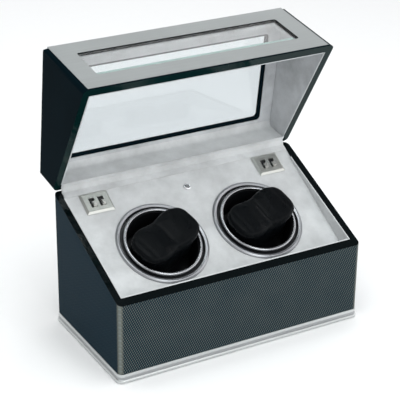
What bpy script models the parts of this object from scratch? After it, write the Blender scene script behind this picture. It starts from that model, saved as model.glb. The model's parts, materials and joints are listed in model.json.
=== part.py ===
"""Two-watch winder box, lid open, modelled in metres with +Z up.

The origin is the centre of the underside, on the surface the box stands on. +X is to the right and
+Y to the back. The slanted deck with its two turntables is built in a frame tilted by DECK_SLOPE,
where x runs along the box, v up the slope and n out of the deck. The lid is built closed, around
its hinge axis, and then turned open by OPEN_ANGLE.
"""

import math

import bmesh
import bpy
from mathutils import Matrix, Vector

# ---- driving dimensions ----
WIDTH = 0.320
DEPTH = 0.166
FRONT_HEIGHT = 0.099
BACK_HEIGHT = 0.169
LID_BACK_HEIGHT = 0.040
CORNER_RADIUS = 0.006
SIDE_WALL = 0.008
FRONT_WALL = 0.010
BACK_WALL = 0.008
TOP_WALL = 0.010
LID_GAP = 0.0015
GAP = 0.0003
LINING = 0.0015
OPEN_ANGLE = math.radians(82.0)

PLINTH_HEIGHT = 0.0115
PLINTH_CLEARANCE = 0.0006
PLINTH_LEDGE = 0.0008
PLINTH_LIP = 0.0018
PLINTH_WALL = 0.008
FELT_THICKNESS = 0.0012
BOTTOM_PANEL = 0.0060
SCREW_AT = (0.135, 0.062)
SCREW_HOLE = 0.0024
SCREW_RECESS = 0.0050

DECK_SLOPE = math.radians(30.0)
DECK_MID_HEIGHT = 0.1215
DECK_THICKNESS = 0.004
DECK_BACK = 0.0836
SIDE_LINING_END = 0.060
GUSSET_DEPTH = 0.0098
GUSSET_THICKNESS = 0.00045
CUP_X = 0.064
CUP_V = -0.0056
CUP_RADIUS = 0.0425
CUP_WALL = 0.0017
CUP_DEPTH = 0.036
CUP_FLOOR = 0.002
CUP_FILLET = 0.004
STEP_RADIUS = 0.0500
STEP_TOP = -0.0010
STEP_UNDERSIDE = -0.0028
LIP_RADIUS = 0.0464
LIP_TOP = 0.0017
CHROME_INNER = 0.0430
CHROME_RADIUS = 0.0471
CHROME_HEIGHT = 0.0028
BEZEL_INNER = 0.0506
BEZEL_OUTER = 0.0557
SLEEVE_OUTER = 0.0534
SLEEVE_FOOT = -0.0060
HUB_RADIUS = 0.0085
HUB_LENGTH = 0.007
SPINDLE_FOOT = -0.070
DECK_HOLE = 0.0540

CUSHION_HALF_LENGTH = 0.0405
CUSHION_HALF_WIDTH = 0.0270
CUSHION_FLARE = 0.0050
FLARE_START = 0.0055
FLARE_END = 0.0160
CUSHION_ROUND = 0.0070
CUSHION_WAIST = (0.10, 0.016)
CUSHION_DIP = (0.0030, 0.017)
CUSHION_TOP = 0.0220
CUSHION_BOTTOM = -0.0245
CUSHION_TURN = {"left": math.radians(22.0), "right": math.radians(17.0)}
CUSHION_REST = 0.0012
REST_SIZE = (0.014, 0.024)
REST_AT = 0.0365

PULLEY_RADIUS = 0.024
MOTOR_PULLEY_RADIUS = 0.006
PULLEY_TOP = -0.0463
PULLEY_HEIGHT = 0.007
PULLEY_FLANGE = 0.0015
MOTOR_PULLEY_FLANGE = 0.0012
MOTOR_OFFSET = 0.042
MOTOR_RADIUS = 0.015
MOTOR_HEIGHT = 0.022
MOTOR_BOSS = 0.0035
SHAFT_RADIUS = 0.0012
CHASSIS_TOP = -0.058
CHASSIS_THICKNESS = 0.003
CHASSIS_SIZE = (0.282, 0.084)
CHASSIS_V = -0.004
POST_RADIUS = 0.004
POSTS_AT = [(sx * 0.133, v) for sx in (-1, 1) for v in (-0.040, 0.032)] + [(0, -0.033), (0, 0.027)]
SPINDLE_RADIUS = 0.003
BUSH_RADIUS = 0.0055
BUSH_FLANGE = 0.0085
BUSH_STEP = 0.0020
BELT_THICKNESS = 0.0014
BELT_WIDTH = 0.0024

SWITCH_X = 0.1165
SWITCH_V = 0.0672
SWITCH_SIZE = (0.0355, 0.0288)
SWITCH_CHAMFER = 0.0025
SWITCH_RISE = 0.0028
SLOT_SIZE = (0.0072, 0.0130)
SLOT_SPACING = 0.0114
KNOB_SIZE = (0.0046, 0.0070)
KNOB_SIDE = 0.0009
KNOB_RISE = 0.0060
MODULE_SIZE = (0.030, 0.022)
MODULE_DEPTH = 0.012

LED_V = 0.0615
LED_RADIUS = 0.0046
LED_HOLE = LED_RADIUS - 0.0013
LENS_HOLE = 0.0025
LENS_SHOULDER = 0.0021
LENS_DOME = 0.0014

WINDOW_HALF_X = 0.134
WINDOW_Y = (-0.138, -0.021)
WINDOW_GLASS = 0.003
WINDOW_BEAD = 0.0025
BEAD_WIDTH = 0.003
FASCIA_HALF_X = 0.154
FASCIA_THICKNESS = 0.0016
FASCIA_RECESS = 0.0020
FASCIA_LIP = 0.0030
FASCIA_OPENING = (0.260, 0.054)
FASCIA_OPENING_Z = -0.0127
FASCIA_GLASS = 0.003
GLASS_MARGIN = 0.001
LID_FRONT_WALL = 0.008
LINING_BEND = 0.0070

HINGE_X = 0.095
HINGE_LENGTH = 0.036
HINGE_MIDDLE = 0.0140
HINGE_LEAF = 0.0009
HINGE_LEAF_DEPTH = 0.0066
KNUCKLE_RADIUS = 0.0024
PIN_RADIUS = 0.0011

INLET_X = 0.118
INLET_Z = 0.032
SOCKET_RADIUS = 0.0048
SOCKET_FLANGE = 0.0068
SOCKET_MOUTH = 0.0030
SOCKET_PIN = 0.0010

BOARD_SIZE = (0.076, 0.040)
BOARD_AT = (0.085, -0.045)
BOARD_STANDOFF = 0.0050
BOARD_THICKNESS = 0.0016
# x, y, width, depth and height above the standoffs of each block of components
BOARD_BLOCKS = (
    (0.060, -0.050, 0.014, 0.016, 0.011),
    (0.084, -0.040, 0.016, 0.010, 0.006),
    (0.108, -0.052, 0.010, 0.010, 0.009),
)
LEG_REACH = (0.035, 0.017)
LEG_RADIUS = 0.0022

SIDES = {"left": -1, "right": 1}
RIM_RISE = (BACK_HEIGHT - FRONT_HEIGHT) / DEPTH
RIM_SLOPE = math.atan(RIM_RISE)
RIM_SHIFT = LID_GAP / 2 / math.cos(RIM_SLOPE)
INNER_X = WIDTH / 2 - SIDE_WALL
INNER_FRONT = -DEPTH / 2 + FRONT_WALL
INNER_BACK = DEPTH / 2 - BACK_WALL


# ---- materials ----
FINISHES = {
    "black_lacquer": ((0.010, 0.012, 0.015), 0.12, 0.0),
    "carbon_wrap": ((0.035, 0.045, 0.055), 0.30, 0.2),
    "grey_suede": ((0.62, 0.64, 0.66), 0.95, 0.0),
    "brushed_aluminium": ((0.62, 0.63, 0.62), 0.35, 1.0),
    "polished_aluminium": ((0.80, 0.81, 0.82), 0.18, 1.0),
    "satin_gunmetal": ((0.42, 0.43, 0.45), 0.30, 1.0),
    "chrome": ((0.85, 0.86, 0.88), 0.06, 1.0),
    "brushed_nickel": ((0.55, 0.54, 0.50), 0.30, 1.0),
    "black_plastic": ((0.012, 0.012, 0.014), 0.35, 0.0),
    "black_leatherette": ((0.014, 0.015, 0.018), 0.45, 0.0),
    "clear_glass": ((0.86, 0.93, 0.91), 0.02, 0.0),
    "clear_lens": ((0.90, 0.92, 0.95), 0.05, 0.0),
    "black_felt": ((0.020, 0.020, 0.022), 0.98, 0.0),
    "steel": ((0.60, 0.60, 0.60), 0.28, 1.0),
    "brass": ((0.75, 0.58, 0.28), 0.30, 1.0),
    "black_rubber": ((0.020, 0.020, 0.020), 0.85, 0.0),
    "board_green": ((0.03, 0.18, 0.08), 0.45, 0.0),
    "grey_plastic": ((0.22, 0.23, 0.24), 0.50, 0.0),
    "fibreboard": ((0.42, 0.30, 0.19), 0.80, 0.0),
}


def finish(name):
    made = bpy.data.materials.get(name)
    if made:
        return made
    colour, roughness, metallic = FINISHES[name]
    made = bpy.data.materials.new(name)
    made.use_nodes = True
    shader = made.node_tree.nodes["Principled BSDF"]
    shader.inputs["Base Color"].default_value = (*colour, 1.0)
    shader.inputs["Roughness"].default_value = roughness
    shader.inputs["Metallic"].default_value = metallic
    return made


# ---- mesh helpers ----
def clear_scene():
    for item in list(bpy.data.objects):
        bpy.data.objects.remove(item, do_unlink=True)


def add_frame(name, matrix):
    """An empty that carries a local frame."""
    frame = bpy.data.objects.new(name, None)
    frame.matrix_world = matrix
    bpy.context.scene.collection.objects.link(frame)
    return frame


def add_part(name, bm, finish_name, frame=None, smooth=False, shift=(0, 0, 0)):
    """Turns a bmesh into a named object that sits in the given frame."""
    bmesh.ops.remove_doubles(bm, verts=bm.verts, dist=1e-7)
    bmesh.ops.recalc_face_normals(bm, faces=bm.faces)
    mesh = bpy.data.meshes.new(name)
    bm.to_mesh(mesh)
    bm.free()
    mesh.materials.append(finish(finish_name))
    if smooth:
        mesh.shade_smooth()
        mesh.set_sharp_from_angle(angle=math.radians(35))
    part = bpy.data.objects.new(name, mesh)
    bpy.context.scene.collection.objects.link(part)
    part.parent = frame
    part.location = shift
    return part


def add_cutter(name, bm, frame=None, shift=(0, 0, 0)):
    cutter = add_part(name, bm, "black_plastic", frame, shift=shift)
    cutter.hide_render = True
    cutter.display_type = "WIRE"
    return cutter


def boolean(part, other, operation):
    step = part.modifiers.new(f"{operation.lower()} {other.name}", "BOOLEAN")
    step.operation = operation
    step.object = other
    step.solver = "EXACT"


def rounded_rectangle(width, depth, radius, centre=(0.0, 0.0), steps=5):
    """Corner points of a rectangle with round corners, counterclockwise."""
    points = []
    for quarter, (sx, sy) in enumerate(((1, 1), (-1, 1), (-1, -1), (1, -1))):
        cx = centre[0] + sx * (width / 2 - radius)
        cy = centre[1] + sy * (depth / 2 - radius)
        for k in range(steps + 1):
            angle = (quarter + k / steps) * math.pi / 2
            points.append((cx + radius * math.cos(angle), cy + radius * math.sin(angle)))
    return points


def circle(radius, centre=(0.0, 0.0), steps=48):
    turn = 2 * math.pi / steps
    return [
        (centre[0] + radius * math.cos(k * turn), centre[1] + radius * math.sin(k * turn))
        for k in range(steps)
    ]


def place(u, w, height, axis):
    """A point of an outline in the plane across the named axis."""
    return {"X": (height, u, w), "Y": (u, height, w), "Z": (u, w, height)}[axis]


def prism(outline, low, high, axis="Z", holes=(), bm=None):
    """An outline, with holes if any, extruded from low to high along an axis."""
    bm = bm or bmesh.new()
    edges = []
    for loop in (outline, *holes):
        verts = [bm.verts.new(place(u, w, low, axis)) for u, w in loop]
        edges += [bm.edges.new((verts[k - 1], verts[k])) for k in range(len(verts))]
    flat = bmesh.ops.triangle_fill(bm, use_beauty=True, edges=edges)
    faces = [item for item in flat["geom"] if isinstance(item, bmesh.types.BMFace)]
    raised = bmesh.ops.extrude_face_region(bm, geom=faces)
    moved = [item for item in raised["geom"] if isinstance(item, bmesh.types.BMVert)]
    bmesh.ops.translate(bm, verts=moved, vec=Vector(place(0, 0, high - low, axis)))
    return bm


def turned(profile, steps=64, closed=True):
    """A profile of (radius, height) points turned round +Z. An open profile ends on the axis."""
    bm = bmesh.new()
    verts = [bm.verts.new((r, 0, h)) for r, h in profile]
    edges = [bm.edges.new(pair) for pair in zip(verts, verts[1:])]
    if closed:
        edges.append(bm.edges.new((verts[-1], verts[0])))
    bmesh.ops.spin(
        bm,
        geom=verts + edges,
        cent=(0, 0, 0),
        axis=(0, 0, 1),
        angle=2 * math.pi,
        steps=steps,
        use_merge=True,
    )
    bmesh.ops.remove_doubles(bm, verts=bm.verts, dist=1e-7)
    return bm


def rod(radius, low, high, steps=24):
    return turned([(0, low), (radius, low), (radius, high), (0, high)], steps, closed=False)


def walls(outer, inner, low, high):
    """A ring of walls between two outlines of equal length, with low and high given by y."""
    bm = bmesh.new()
    rows = []
    for outline in (outer, inner):
        for level in (low, high):
            rows.append([bm.verts.new((x, y, level(y))) for x, y in outline])
    outer_low, outer_high, inner_low, inner_high = rows
    for a, b in (
        (outer_low, outer_high),
        (outer_high, inner_high),
        (inner_high, inner_low),
        (inner_low, outer_low),
    ):
        for k in range(len(a)):
            bm.faces.new((a[k - 1], a[k], b[k], b[k - 1]))
    return bm


def rim(y):
    """Height of the parting plane between base and lid."""
    return FRONT_HEIGHT + RIM_RISE * (y + DEPTH / 2)


def deck_height(y):
    return DECK_MID_HEIGHT + math.tan(DECK_SLOPE) * y


# ---- frames ----
def make_frames():
    deck = Matrix.Translation((0, 0, DECK_MID_HEIGHT)) @ Matrix.Rotation(DECK_SLOPE, 4, "X")
    hinge = Matrix.Translation((0, DEPTH / 2, BACK_HEIGHT))
    frames = {
        "deck": add_frame("deck_frame", deck),
        "lid": add_frame("lid_frame", hinge @ Matrix.Rotation(-OPEN_ANGLE, 4, "X")),
        "rim": add_frame("rim_frame", hinge @ Matrix.Rotation(RIM_SLOPE, 4, "X")),
        "lid_rim": add_frame(
            "lid_rim_frame", hinge @ Matrix.Rotation(RIM_SLOPE - OPEN_ANGLE, 4, "X")
        ),
    }
    for side, sign in SIDES.items():
        centre = deck @ Matrix.Translation((sign * CUP_X, CUP_V, 0))
        frames[f"cup_{side}"] = add_frame(f"cup_{side}_axis", centre)
        motor = deck @ Matrix.Translation((sign * (CUP_X - MOTOR_OFFSET), CUP_V, 0))
        frames[f"motor_{side}"] = add_frame(f"motor_{side}_axis", motor)
        turn = Matrix.Rotation(CUSHION_TURN[side], 4, "Z")
        frames[f"cushion_{side}"] = add_frame(f"cushion_{side}_frame", centre @ turn)
    return frames


# ---- base ----
def make_case(frames):
    outer = rounded_rectangle(WIDTH, DEPTH, CORNER_RADIUS)
    inner = rounded_rectangle(
        2 * INNER_X, INNER_BACK - INNER_FRONT, 0.001, (0, (INNER_BACK + INNER_FRONT) / 2)
    )
    body = add_part(
        "case_body",
        walls(outer, inner, lambda y: PLINTH_HEIGHT + GAP, lambda y: rim(y) - RIM_SHIFT),
        "carbon_wrap",
    )
    for side, sign in SIDES.items():
        boolean(body, hinge_recess(f"base_recess_{side}", sign, frames["rim"], -1), "DIFFERENCE")
    hole = add_cutter(
        "inlet_hole",
        prism(
            circle(SOCKET_RADIUS + GAP, (INLET_X, INLET_Z), 24),
            INNER_BACK - 0.01,
            DEPTH / 2 + 0.01,
            "Y",
        ),
    )
    boolean(body, hole, "DIFFERENCE")


def make_plinth():
    """A stepped metal frame: a ledge, a flat band and a lip that stands out at the foot."""
    levels = (
        (PLINTH_CLEARANCE, PLINTH_LIP),
        (0.0038, PLINTH_LIP),
        (0.0046, PLINTH_LEDGE),
        (PLINTH_HEIGHT - 0.0008, PLINTH_LEDGE),
        (PLINTH_HEIGHT, 0.0),
    )
    inside = rounded_rectangle(WIDTH - 2 * PLINTH_WALL, DEPTH - 2 * PLINTH_WALL, 0.001)
    bm = bmesh.new()
    rows = []
    for height, out in levels:
        radius = CORNER_RADIUS + out
        ring = rounded_rectangle(WIDTH + 2 * out, DEPTH + 2 * out, radius)
        rows.append([bm.verts.new((x, y, height)) for x, y in ring])
    for height in (PLINTH_HEIGHT, PLINTH_CLEARANCE):
        rows.append([bm.verts.new((x, y, height)) for x, y in inside])
    for row, following in zip(rows, rows[1:] + rows[:1]):
        for k in range(len(row)):
            bm.faces.new((row[k - 1], row[k], following[k], following[k - 1]))
    add_part("plinth_trim", bm, "polished_aluminium")


def make_bottom():
    margin = 2 * (PLINTH_WALL + GAP)
    outline = rounded_rectangle(WIDTH - margin, DEPTH - margin, 0.001)
    low = FELT_THICKNESS + GAP
    screws = [(sx * SCREW_AT[0], sy * SCREW_AT[1]) for sx in (-1, 1) for sy in (-1, 1)]
    holes = [circle(SCREW_HOLE, at, 16) for at in screws]
    add_part("bottom_panel", prism(outline, low, low + BOTTOM_PANEL, holes=holes), "fibreboard")
    recesses = [circle(SCREW_RECESS, at, 16) for at in screws]
    felt = prism(outline, 0.0, FELT_THICKNESS, holes=recesses)
    add_part("base_felt", felt, "black_felt")


def make_deck(frames):
    front = (INNER_FRONT + GAP) / math.cos(DECK_SLOPE)
    outline = [
        (-INNER_X + GAP, front),
        (INNER_X - GAP, front),
        (INNER_X - GAP, DECK_BACK),
        (-INNER_X + GAP, DECK_BACK),
    ]
    holes = [circle(LED_HOLE, (0, LED_V), 16)]
    for sign in SIDES.values():
        holes.append(circle(DECK_HOLE, (sign * CUP_X, CUP_V), 52))
        holes.append(
            rounded_rectangle(
                MODULE_SIZE[0] + 2 * GAP,
                MODULE_SIZE[1] + 2 * GAP,
                0.0005,
                (sign * SWITCH_X, SWITCH_V),
                steps=1,
            )
        )
    board = prism(outline, -DECK_THICKNESS, 0.0, holes=holes)
    add_part("deck_panel", board, "grey_suede", frames["deck"])


def make_deck_linings():
    """Suede-covered boards on the walls above the deck, tapering to nothing at the back."""
    end = SIDE_LINING_END
    stand = GAP / math.cos(DECK_SLOPE)
    front = INNER_FRONT + GAP
    side_outline = [
        (front, deck_height(front) + stand),
        (end, deck_height(end) + stand),
        (end, rim(end) - RIM_SHIFT),
        (front, rim(front) - RIM_SHIFT),
    ]
    for side, sign in SIDES.items():
        near = sign * (INNER_X - GAP)
        far = sign * (INNER_X - GAP - LINING)
        board = prism(side_outline, min(near, far), max(near, far), "X")
        add_part(f"base_lining_{side}", board, "grey_suede")
    back = front + LINING
    outline = [
        (front, deck_height(front) + stand),
        (back, deck_height(back) + stand),
        (back, rim(back) - RIM_SHIFT),
        (front, rim(front) - RIM_SHIFT),
    ]
    half = INNER_X - 2 * GAP - LINING
    add_part("base_lining_front", prism(outline, -half, half, "X"), "grey_suede")


def make_hinge_gusset(frames):
    """The thin suede strip that covers the base's back rim and the hinges."""
    outline = rounded_rectangle(2 * INNER_X - 0.002, GUSSET_DEPTH, 0.001, (0, -0.0081), steps=2)
    strip = prism(outline, -GUSSET_THICKNESS, 0.0)
    add_part("hinge_gusset", strip, "grey_suede", frames["rim"])


# ---- turntables ----
def pulley_profile(bore, radius, flange):
    """A grooved belt pulley below PULLEY_TOP."""
    middle, groove = PULLEY_TOP - PULLEY_HEIGHT / 2, BELT_WIDTH / 2 + GAP
    return [
        (bore, PULLEY_TOP - PULLEY_HEIGHT),
        (radius + flange, PULLEY_TOP - PULLEY_HEIGHT),
        (radius + flange, middle - groove),
        (radius, middle - groove),
        (radius, middle + groove),
        (radius + flange, middle + groove),
        (radius + flange, PULLEY_TOP),
        (bore, PULLEY_TOP),
    ]


def make_turntable(side, frames):
    axis = frames[f"cup_{side}"]
    bezel = [
        (BEZEL_INNER, SLEEVE_FOOT),
        (SLEEVE_OUTER, SLEEVE_FOOT),
        (SLEEVE_OUTER, GAP),
        (BEZEL_OUTER, GAP),
        (BEZEL_OUTER - 0.0003, 0.0014),
        (BEZEL_OUTER - 0.0014, 0.0025),
        (BEZEL_OUTER - 0.0027, 0.0028),
        (BEZEL_INNER + 0.0010, 0.0020),
        (BEZEL_INNER, 0.0008),
    ]
    add_part(f"bezel_ring_{side}", turned(bezel, 56), "satin_gunmetal", axis, True)

    floor = -CUP_DEPTH
    outside = CUP_RADIUS + CUP_WALL
    bore = SPINDLE_RADIUS + GAP
    cup = [
        (0, floor),
        (CUP_RADIUS - CUP_FILLET, floor),
        (CUP_RADIUS, floor + CUP_FILLET),
        (CUP_RADIUS, LIP_TOP),
        (LIP_RADIUS, LIP_TOP),
        (LIP_RADIUS, STEP_TOP),
        (STEP_RADIUS, STEP_TOP),
        (STEP_RADIUS, STEP_UNDERSIDE),
        (outside, STEP_UNDERSIDE),
        (outside, floor + CUP_FLOOR),
        (outside - CUP_FILLET, floor - CUP_FLOOR),
        (HUB_RADIUS, floor - CUP_FLOOR),
        (HUB_RADIUS, floor - CUP_FLOOR - HUB_LENGTH),
        (bore, floor - CUP_FLOOR - HUB_LENGTH),
        (bore, floor - 0.0015),
        (0, floor - 0.0015),
    ]
    body = add_part(f"cup_{side}", turned(cup, 44, closed=False), "black_plastic", axis, True)
    rest_low, rest_high = floor - 0.001, CUSHION_BOTTOM - CUSHION_REST
    for end, sign in (("a", 1), ("b", -1)):
        block = rounded_rectangle(*REST_SIZE, 0.002, (sign * REST_AT, 0), steps=2)
        rest = add_cutter(
            f"cup_rest_{side}_{end}", prism(block, rest_low, rest_high), frames[f"cushion_{side}"]
        )
        boolean(body, rest, "UNION")

    low = LIP_TOP + GAP
    high = low + CHROME_HEIGHT
    chrome = [
        (CHROME_INNER, low),
        (CHROME_RADIUS, low),
        (CHROME_RADIUS, low + 0.0010),
        (CHROME_RADIUS - 0.0005, high - 0.0008),
        (CHROME_RADIUS - 0.0014, high - 0.0001),
        (CHROME_INNER + 0.0018, high),
        (CHROME_INNER + 0.0006, high - 0.0006),
        (CHROME_INNER, high - 0.0016),
    ]
    add_part(f"cup_ring_{side}", turned(chrome, 56), "chrome", axis, True)

    spindle = rod(SPINDLE_RADIUS, SPINDLE_FOOT, floor - CUP_FLOOR)
    add_part(f"spindle_{side}", spindle, "steel", axis, True)
    pulley = turned(pulley_profile(bore, PULLEY_RADIUS, PULLEY_FLANGE), 32)
    add_part(f"driven_pulley_{side}", pulley, "grey_plastic", axis, True)
    bush = [
        (bore, CHASSIS_TOP - BUSH_RADIUS),
        (BUSH_RADIUS, CHASSIS_TOP - BUSH_RADIUS),
        (BUSH_RADIUS, CHASSIS_TOP + GAP),
        (BUSH_FLANGE, CHASSIS_TOP + GAP),
        (BUSH_FLANGE, CHASSIS_TOP + BUSH_STEP),
        (bore, CHASSIS_TOP + BUSH_STEP),
    ]
    add_part(f"bearing_bush_{side}", turned(bush, 20), "brass", axis, True)
    make_cushion(side, frames)


def cushion_size(n):
    """Half the length and half the width of a cushion at height n, with its rounded edges."""
    share = min(1.0, max(0.0, (n - FLARE_START) / (FLARE_END - FLARE_START)))
    flare = CUSHION_FLARE * share * share * (3 - 2 * share)
    edge = CUSHION_ROUND - min(CUSHION_TOP - n, n - CUSHION_BOTTOM, CUSHION_ROUND)
    inset = CUSHION_ROUND - math.sqrt(CUSHION_ROUND**2 - edge**2)
    return CUSHION_HALF_LENGTH + flare - inset, CUSHION_HALF_WIDTH - inset


def cushion_point(n, angle):
    """A point of the cushion's skin, pulled in at its waist and sunk on top where a watch lies."""
    power = 3.5
    half_length, half_width = cushion_size(n)
    c, d = math.cos(angle), math.sin(angle)
    s = half_length * math.copysign(abs(c) ** (2 / power), c)
    w = half_width * math.copysign(abs(d) ** (2 / power), d)
    waist, waist_reach = CUSHION_WAIST
    dip, dip_reach = CUSHION_DIP
    w *= 1 - waist * math.exp(-((s / waist_reach) ** 2))
    if n > 0:
        n -= dip * n / CUSHION_TOP * math.exp(-((s / dip_reach) ** 2))
    return s, w, n


def make_cushion(side, frames):
    """A plump watch pillow whose ends flare out over the cup's ring."""
    bends, around = 4, 28
    rounding = [CUSHION_ROUND * (1 - math.cos(k * math.pi / 2 / bends)) for k in range(bends + 1)]
    heights = [CUSHION_BOTTOM + rise for rise in rounding]
    heights += [FLARE_START, (FLARE_START + FLARE_END) / 2]
    heights += [CUSHION_TOP - fall for fall in reversed(rounding)]
    bm = bmesh.new()
    turn = 2 * math.pi / around
    rows = [[bm.verts.new(cushion_point(n, j * turn)) for j in range(around)] for n in heights]
    for row, following in zip(rows, rows[1:]):
        for j in range(around):
            bm.faces.new((row[j - 1], row[j], following[j], following[j - 1]))
    for row in (rows[0], rows[-1]):
        bm.faces.new((row[0], row[1], row[-1]))
        for j in range(1, around // 2 - 1):
            bm.faces.new((row[j], row[j + 1], row[-j - 1], row[-j]))
        bm.faces.new((row[around // 2 - 1], row[around // 2], row[around // 2 + 1]))
    add_part(
        f"cushion_{side}", bm, "black_leatherette", frames[f"cushion_{side}"], smooth=True
    )


def make_drive(side, frames):
    """Gearmotor, its small pulley and the belt to the turntable."""
    axis = frames[f"motor_{side}"]
    top = CHASSIS_TOP - CHASSIS_THICKNESS - GAP
    motor = [
        (0, top - MOTOR_HEIGHT),
        (MOTOR_RADIUS - 0.001, top - MOTOR_HEIGHT),
        (MOTOR_RADIUS, top - MOTOR_HEIGHT + 0.001),
        (MOTOR_RADIUS, top),
        (MOTOR_BOSS, top),
        (MOTOR_BOSS, top + 0.0020),
        (SHAFT_RADIUS, top + 0.0020),
        (SHAFT_RADIUS, PULLEY_TOP - 0.0010),
        (0, PULLEY_TOP - 0.0010),
    ]
    add_part(f"gearmotor_{side}", turned(motor, 28, closed=False), "steel", axis, True)
    pulley = pulley_profile(SHAFT_RADIUS + GAP, MOTOR_PULLEY_RADIUS, MOTOR_PULLEY_FLANGE)
    add_part(f"motor_pulley_{side}", turned(pulley, 20), "brass", axis, True)
    centre = PULLEY_TOP - PULLEY_HEIGHT / 2
    inner = belt_outline(side, GAP)
    outer = belt_outline(side, GAP + BELT_THICKNESS)
    belt = prism(outer, centre - BELT_WIDTH / 2, centre + BELT_WIDTH / 2, holes=[inner])
    add_part(f"drive_belt_{side}", belt, "black_rubber", frames[f"cup_{side}"])


def belt_outline(side, out):
    """The path round both pulleys, in the turntable's frame, at a distance out from their rims."""
    towards_motor = -SIDES[side]
    big, small = PULLEY_RADIUS + out, MOTOR_PULLEY_RADIUS + out
    lean = math.acos((big - small) / MOTOR_OFFSET)
    points = []
    big_steps, small_steps = 24, 10
    for k in range(big_steps + 1):
        angle = lean + (2 * math.pi - 2 * lean) * k / big_steps
        points.append((big * math.cos(angle), big * math.sin(angle)))
    for k in range(small_steps + 1):
        angle = -lean + 2 * lean * k / small_steps
        points.append((MOTOR_OFFSET + small * math.cos(angle), small * math.sin(angle)))
    return [(towards_motor * x, y) for x, y in points]


def make_chassis(frames):
    """The plate that carries both drives, hung from the deck on six posts."""
    low = CHASSIS_TOP - CHASSIS_THICKNESS
    holes = []
    for sign in SIDES.values():
        holes.append(circle(BUSH_RADIUS + GAP, (sign * CUP_X, CUP_V), 32))
        holes.append(circle(MOTOR_BOSS + GAP, (sign * (CUP_X - MOTOR_OFFSET), CUP_V), 20))
    outline = rounded_rectangle(*CHASSIS_SIZE, 0.006, (0, CHASSIS_V), steps=3)
    plate = add_part(
        "winder_chassis", prism(outline, low, CHASSIS_TOP, holes=holes), "grey_plastic", frames["deck"]
    )
    for k, (x, v) in enumerate(POSTS_AT):
        post = add_cutter(
            f"chassis_post_{k}",
            rod(POST_RADIUS, low + 0.001, -DECK_THICKNESS - GAP, 16),
            frames["deck"],
            (x, v, 0),
        )
        boolean(plate, post, "UNION")


# ---- controls ----
def make_switches(side, frames):
    sign = SIDES[side]
    at = (sign * SWITCH_X, SWITCH_V, 0)
    slots = [k * SLOT_SPACING / 2 for k in (-1, 1)]
    bm = bmesh.new()
    half = [
        (SWITCH_SIZE[0] / 2, SWITCH_SIZE[1] / 2, GAP),
        (SWITCH_SIZE[0] / 2, SWITCH_SIZE[1] / 2, GAP + 0.0005),
        (
            SWITCH_SIZE[0] / 2 - SWITCH_CHAMFER,
            SWITCH_SIZE[1] / 2 - SWITCH_CHAMFER,
            SWITCH_RISE,
        ),
    ]
    rows = [
        [bm.verts.new((sx * w, sy * d, h)) for sx, sy in ((1, 1), (-1, 1), (-1, -1), (1, -1))]
        for w, d, h in half
    ]
    for row, following in zip(rows, rows[1:]):
        for k in range(4):
            bm.faces.new((row[k - 1], row[k], following[k], following[k - 1]))
    bm.faces.new(rows[-1])
    bm.faces.new(reversed(rows[0]))
    plate = add_part(f"switch_plate_{side}", bm, "brushed_nickel", frames["deck"], shift=at)
    for name, x in zip(("outer", "inner"), slots):
        outline = rounded_rectangle(*SLOT_SIZE, 0.0004, (x, 0), steps=1)
        slot = add_cutter(
            f"switch_slot_{side}_{name}",
            prism(outline, -0.002, SWITCH_RISE + 0.002),
            frames["deck"],
            at,
        )
        boolean(plate, slot, "DIFFERENCE")
    module = prism(rounded_rectangle(*MODULE_SIZE, 0.0005, steps=1), -MODULE_DEPTH, 0.0)
    add_part(f"switch_module_{side}", module, "black_plastic", frames["deck"], shift=at)
    names = ("direction", "program") if side == "left" else ("program", "direction")
    for name, x in zip(names, slots):
        v = -SLOT_SIZE[1] / 2 + GAP + KNOB_SIZE[1] / 2
        spot = (at[0] + x + KNOB_SIDE, at[1] + v, 0)
        knob = prism(rounded_rectangle(*KNOB_SIZE, 0.0008, steps=2), GAP, KNOB_RISE - 0.001)
        top = prism(
            rounded_rectangle(KNOB_SIZE[0] - 0.0010, KNOB_SIZE[1] - 0.0018, 0.0006, steps=2),
            KNOB_RISE - 0.002,
            KNOB_RISE,
        )
        lever = add_part(
            f"{name}_slider_{side}",
            knob,
            "brushed_nickel",
            frames["deck"],
            shift=spot,
        )
        crown = add_cutter(f"slider_crown_{side}_{name}", top, frames["deck"], spot)
        boolean(lever, crown, "UNION")


def make_indicator(frames):
    """The small chrome-rimmed power lamp behind the turntables."""
    bezel = [
        (LENS_HOLE, -0.009),
        (LED_HOLE - GAP, -0.009),
        (LED_HOLE - GAP, GAP),
        (LED_RADIUS, GAP),
        (LED_RADIUS, 0.0009),
        (LED_RADIUS - 0.0008, 0.0019),
        (LENS_HOLE + 0.0003, 0.0023),
        (LENS_HOLE, LENS_SHOULDER),
    ]
    at = (0, LED_V, 0)
    add_part("lamp_bezel", turned(bezel, 24), "chrome", frames["deck"], True, at)
    inside = LENS_HOLE - GAP
    lens = [(0, -0.006), (inside, -0.006), (inside, LENS_SHOULDER)]
    steps = 4
    for k in range(1, steps + 1):
        angle = math.pi / 2 * k / steps
        lens.append((inside * math.cos(angle), LENS_SHOULDER + LENS_DOME * math.sin(angle)))
    lens[-1] = (0, lens[-1][1])
    add_part("lamp_lens", turned(lens, 20, closed=False), "clear_lens", frames["deck"], True, at)


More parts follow.
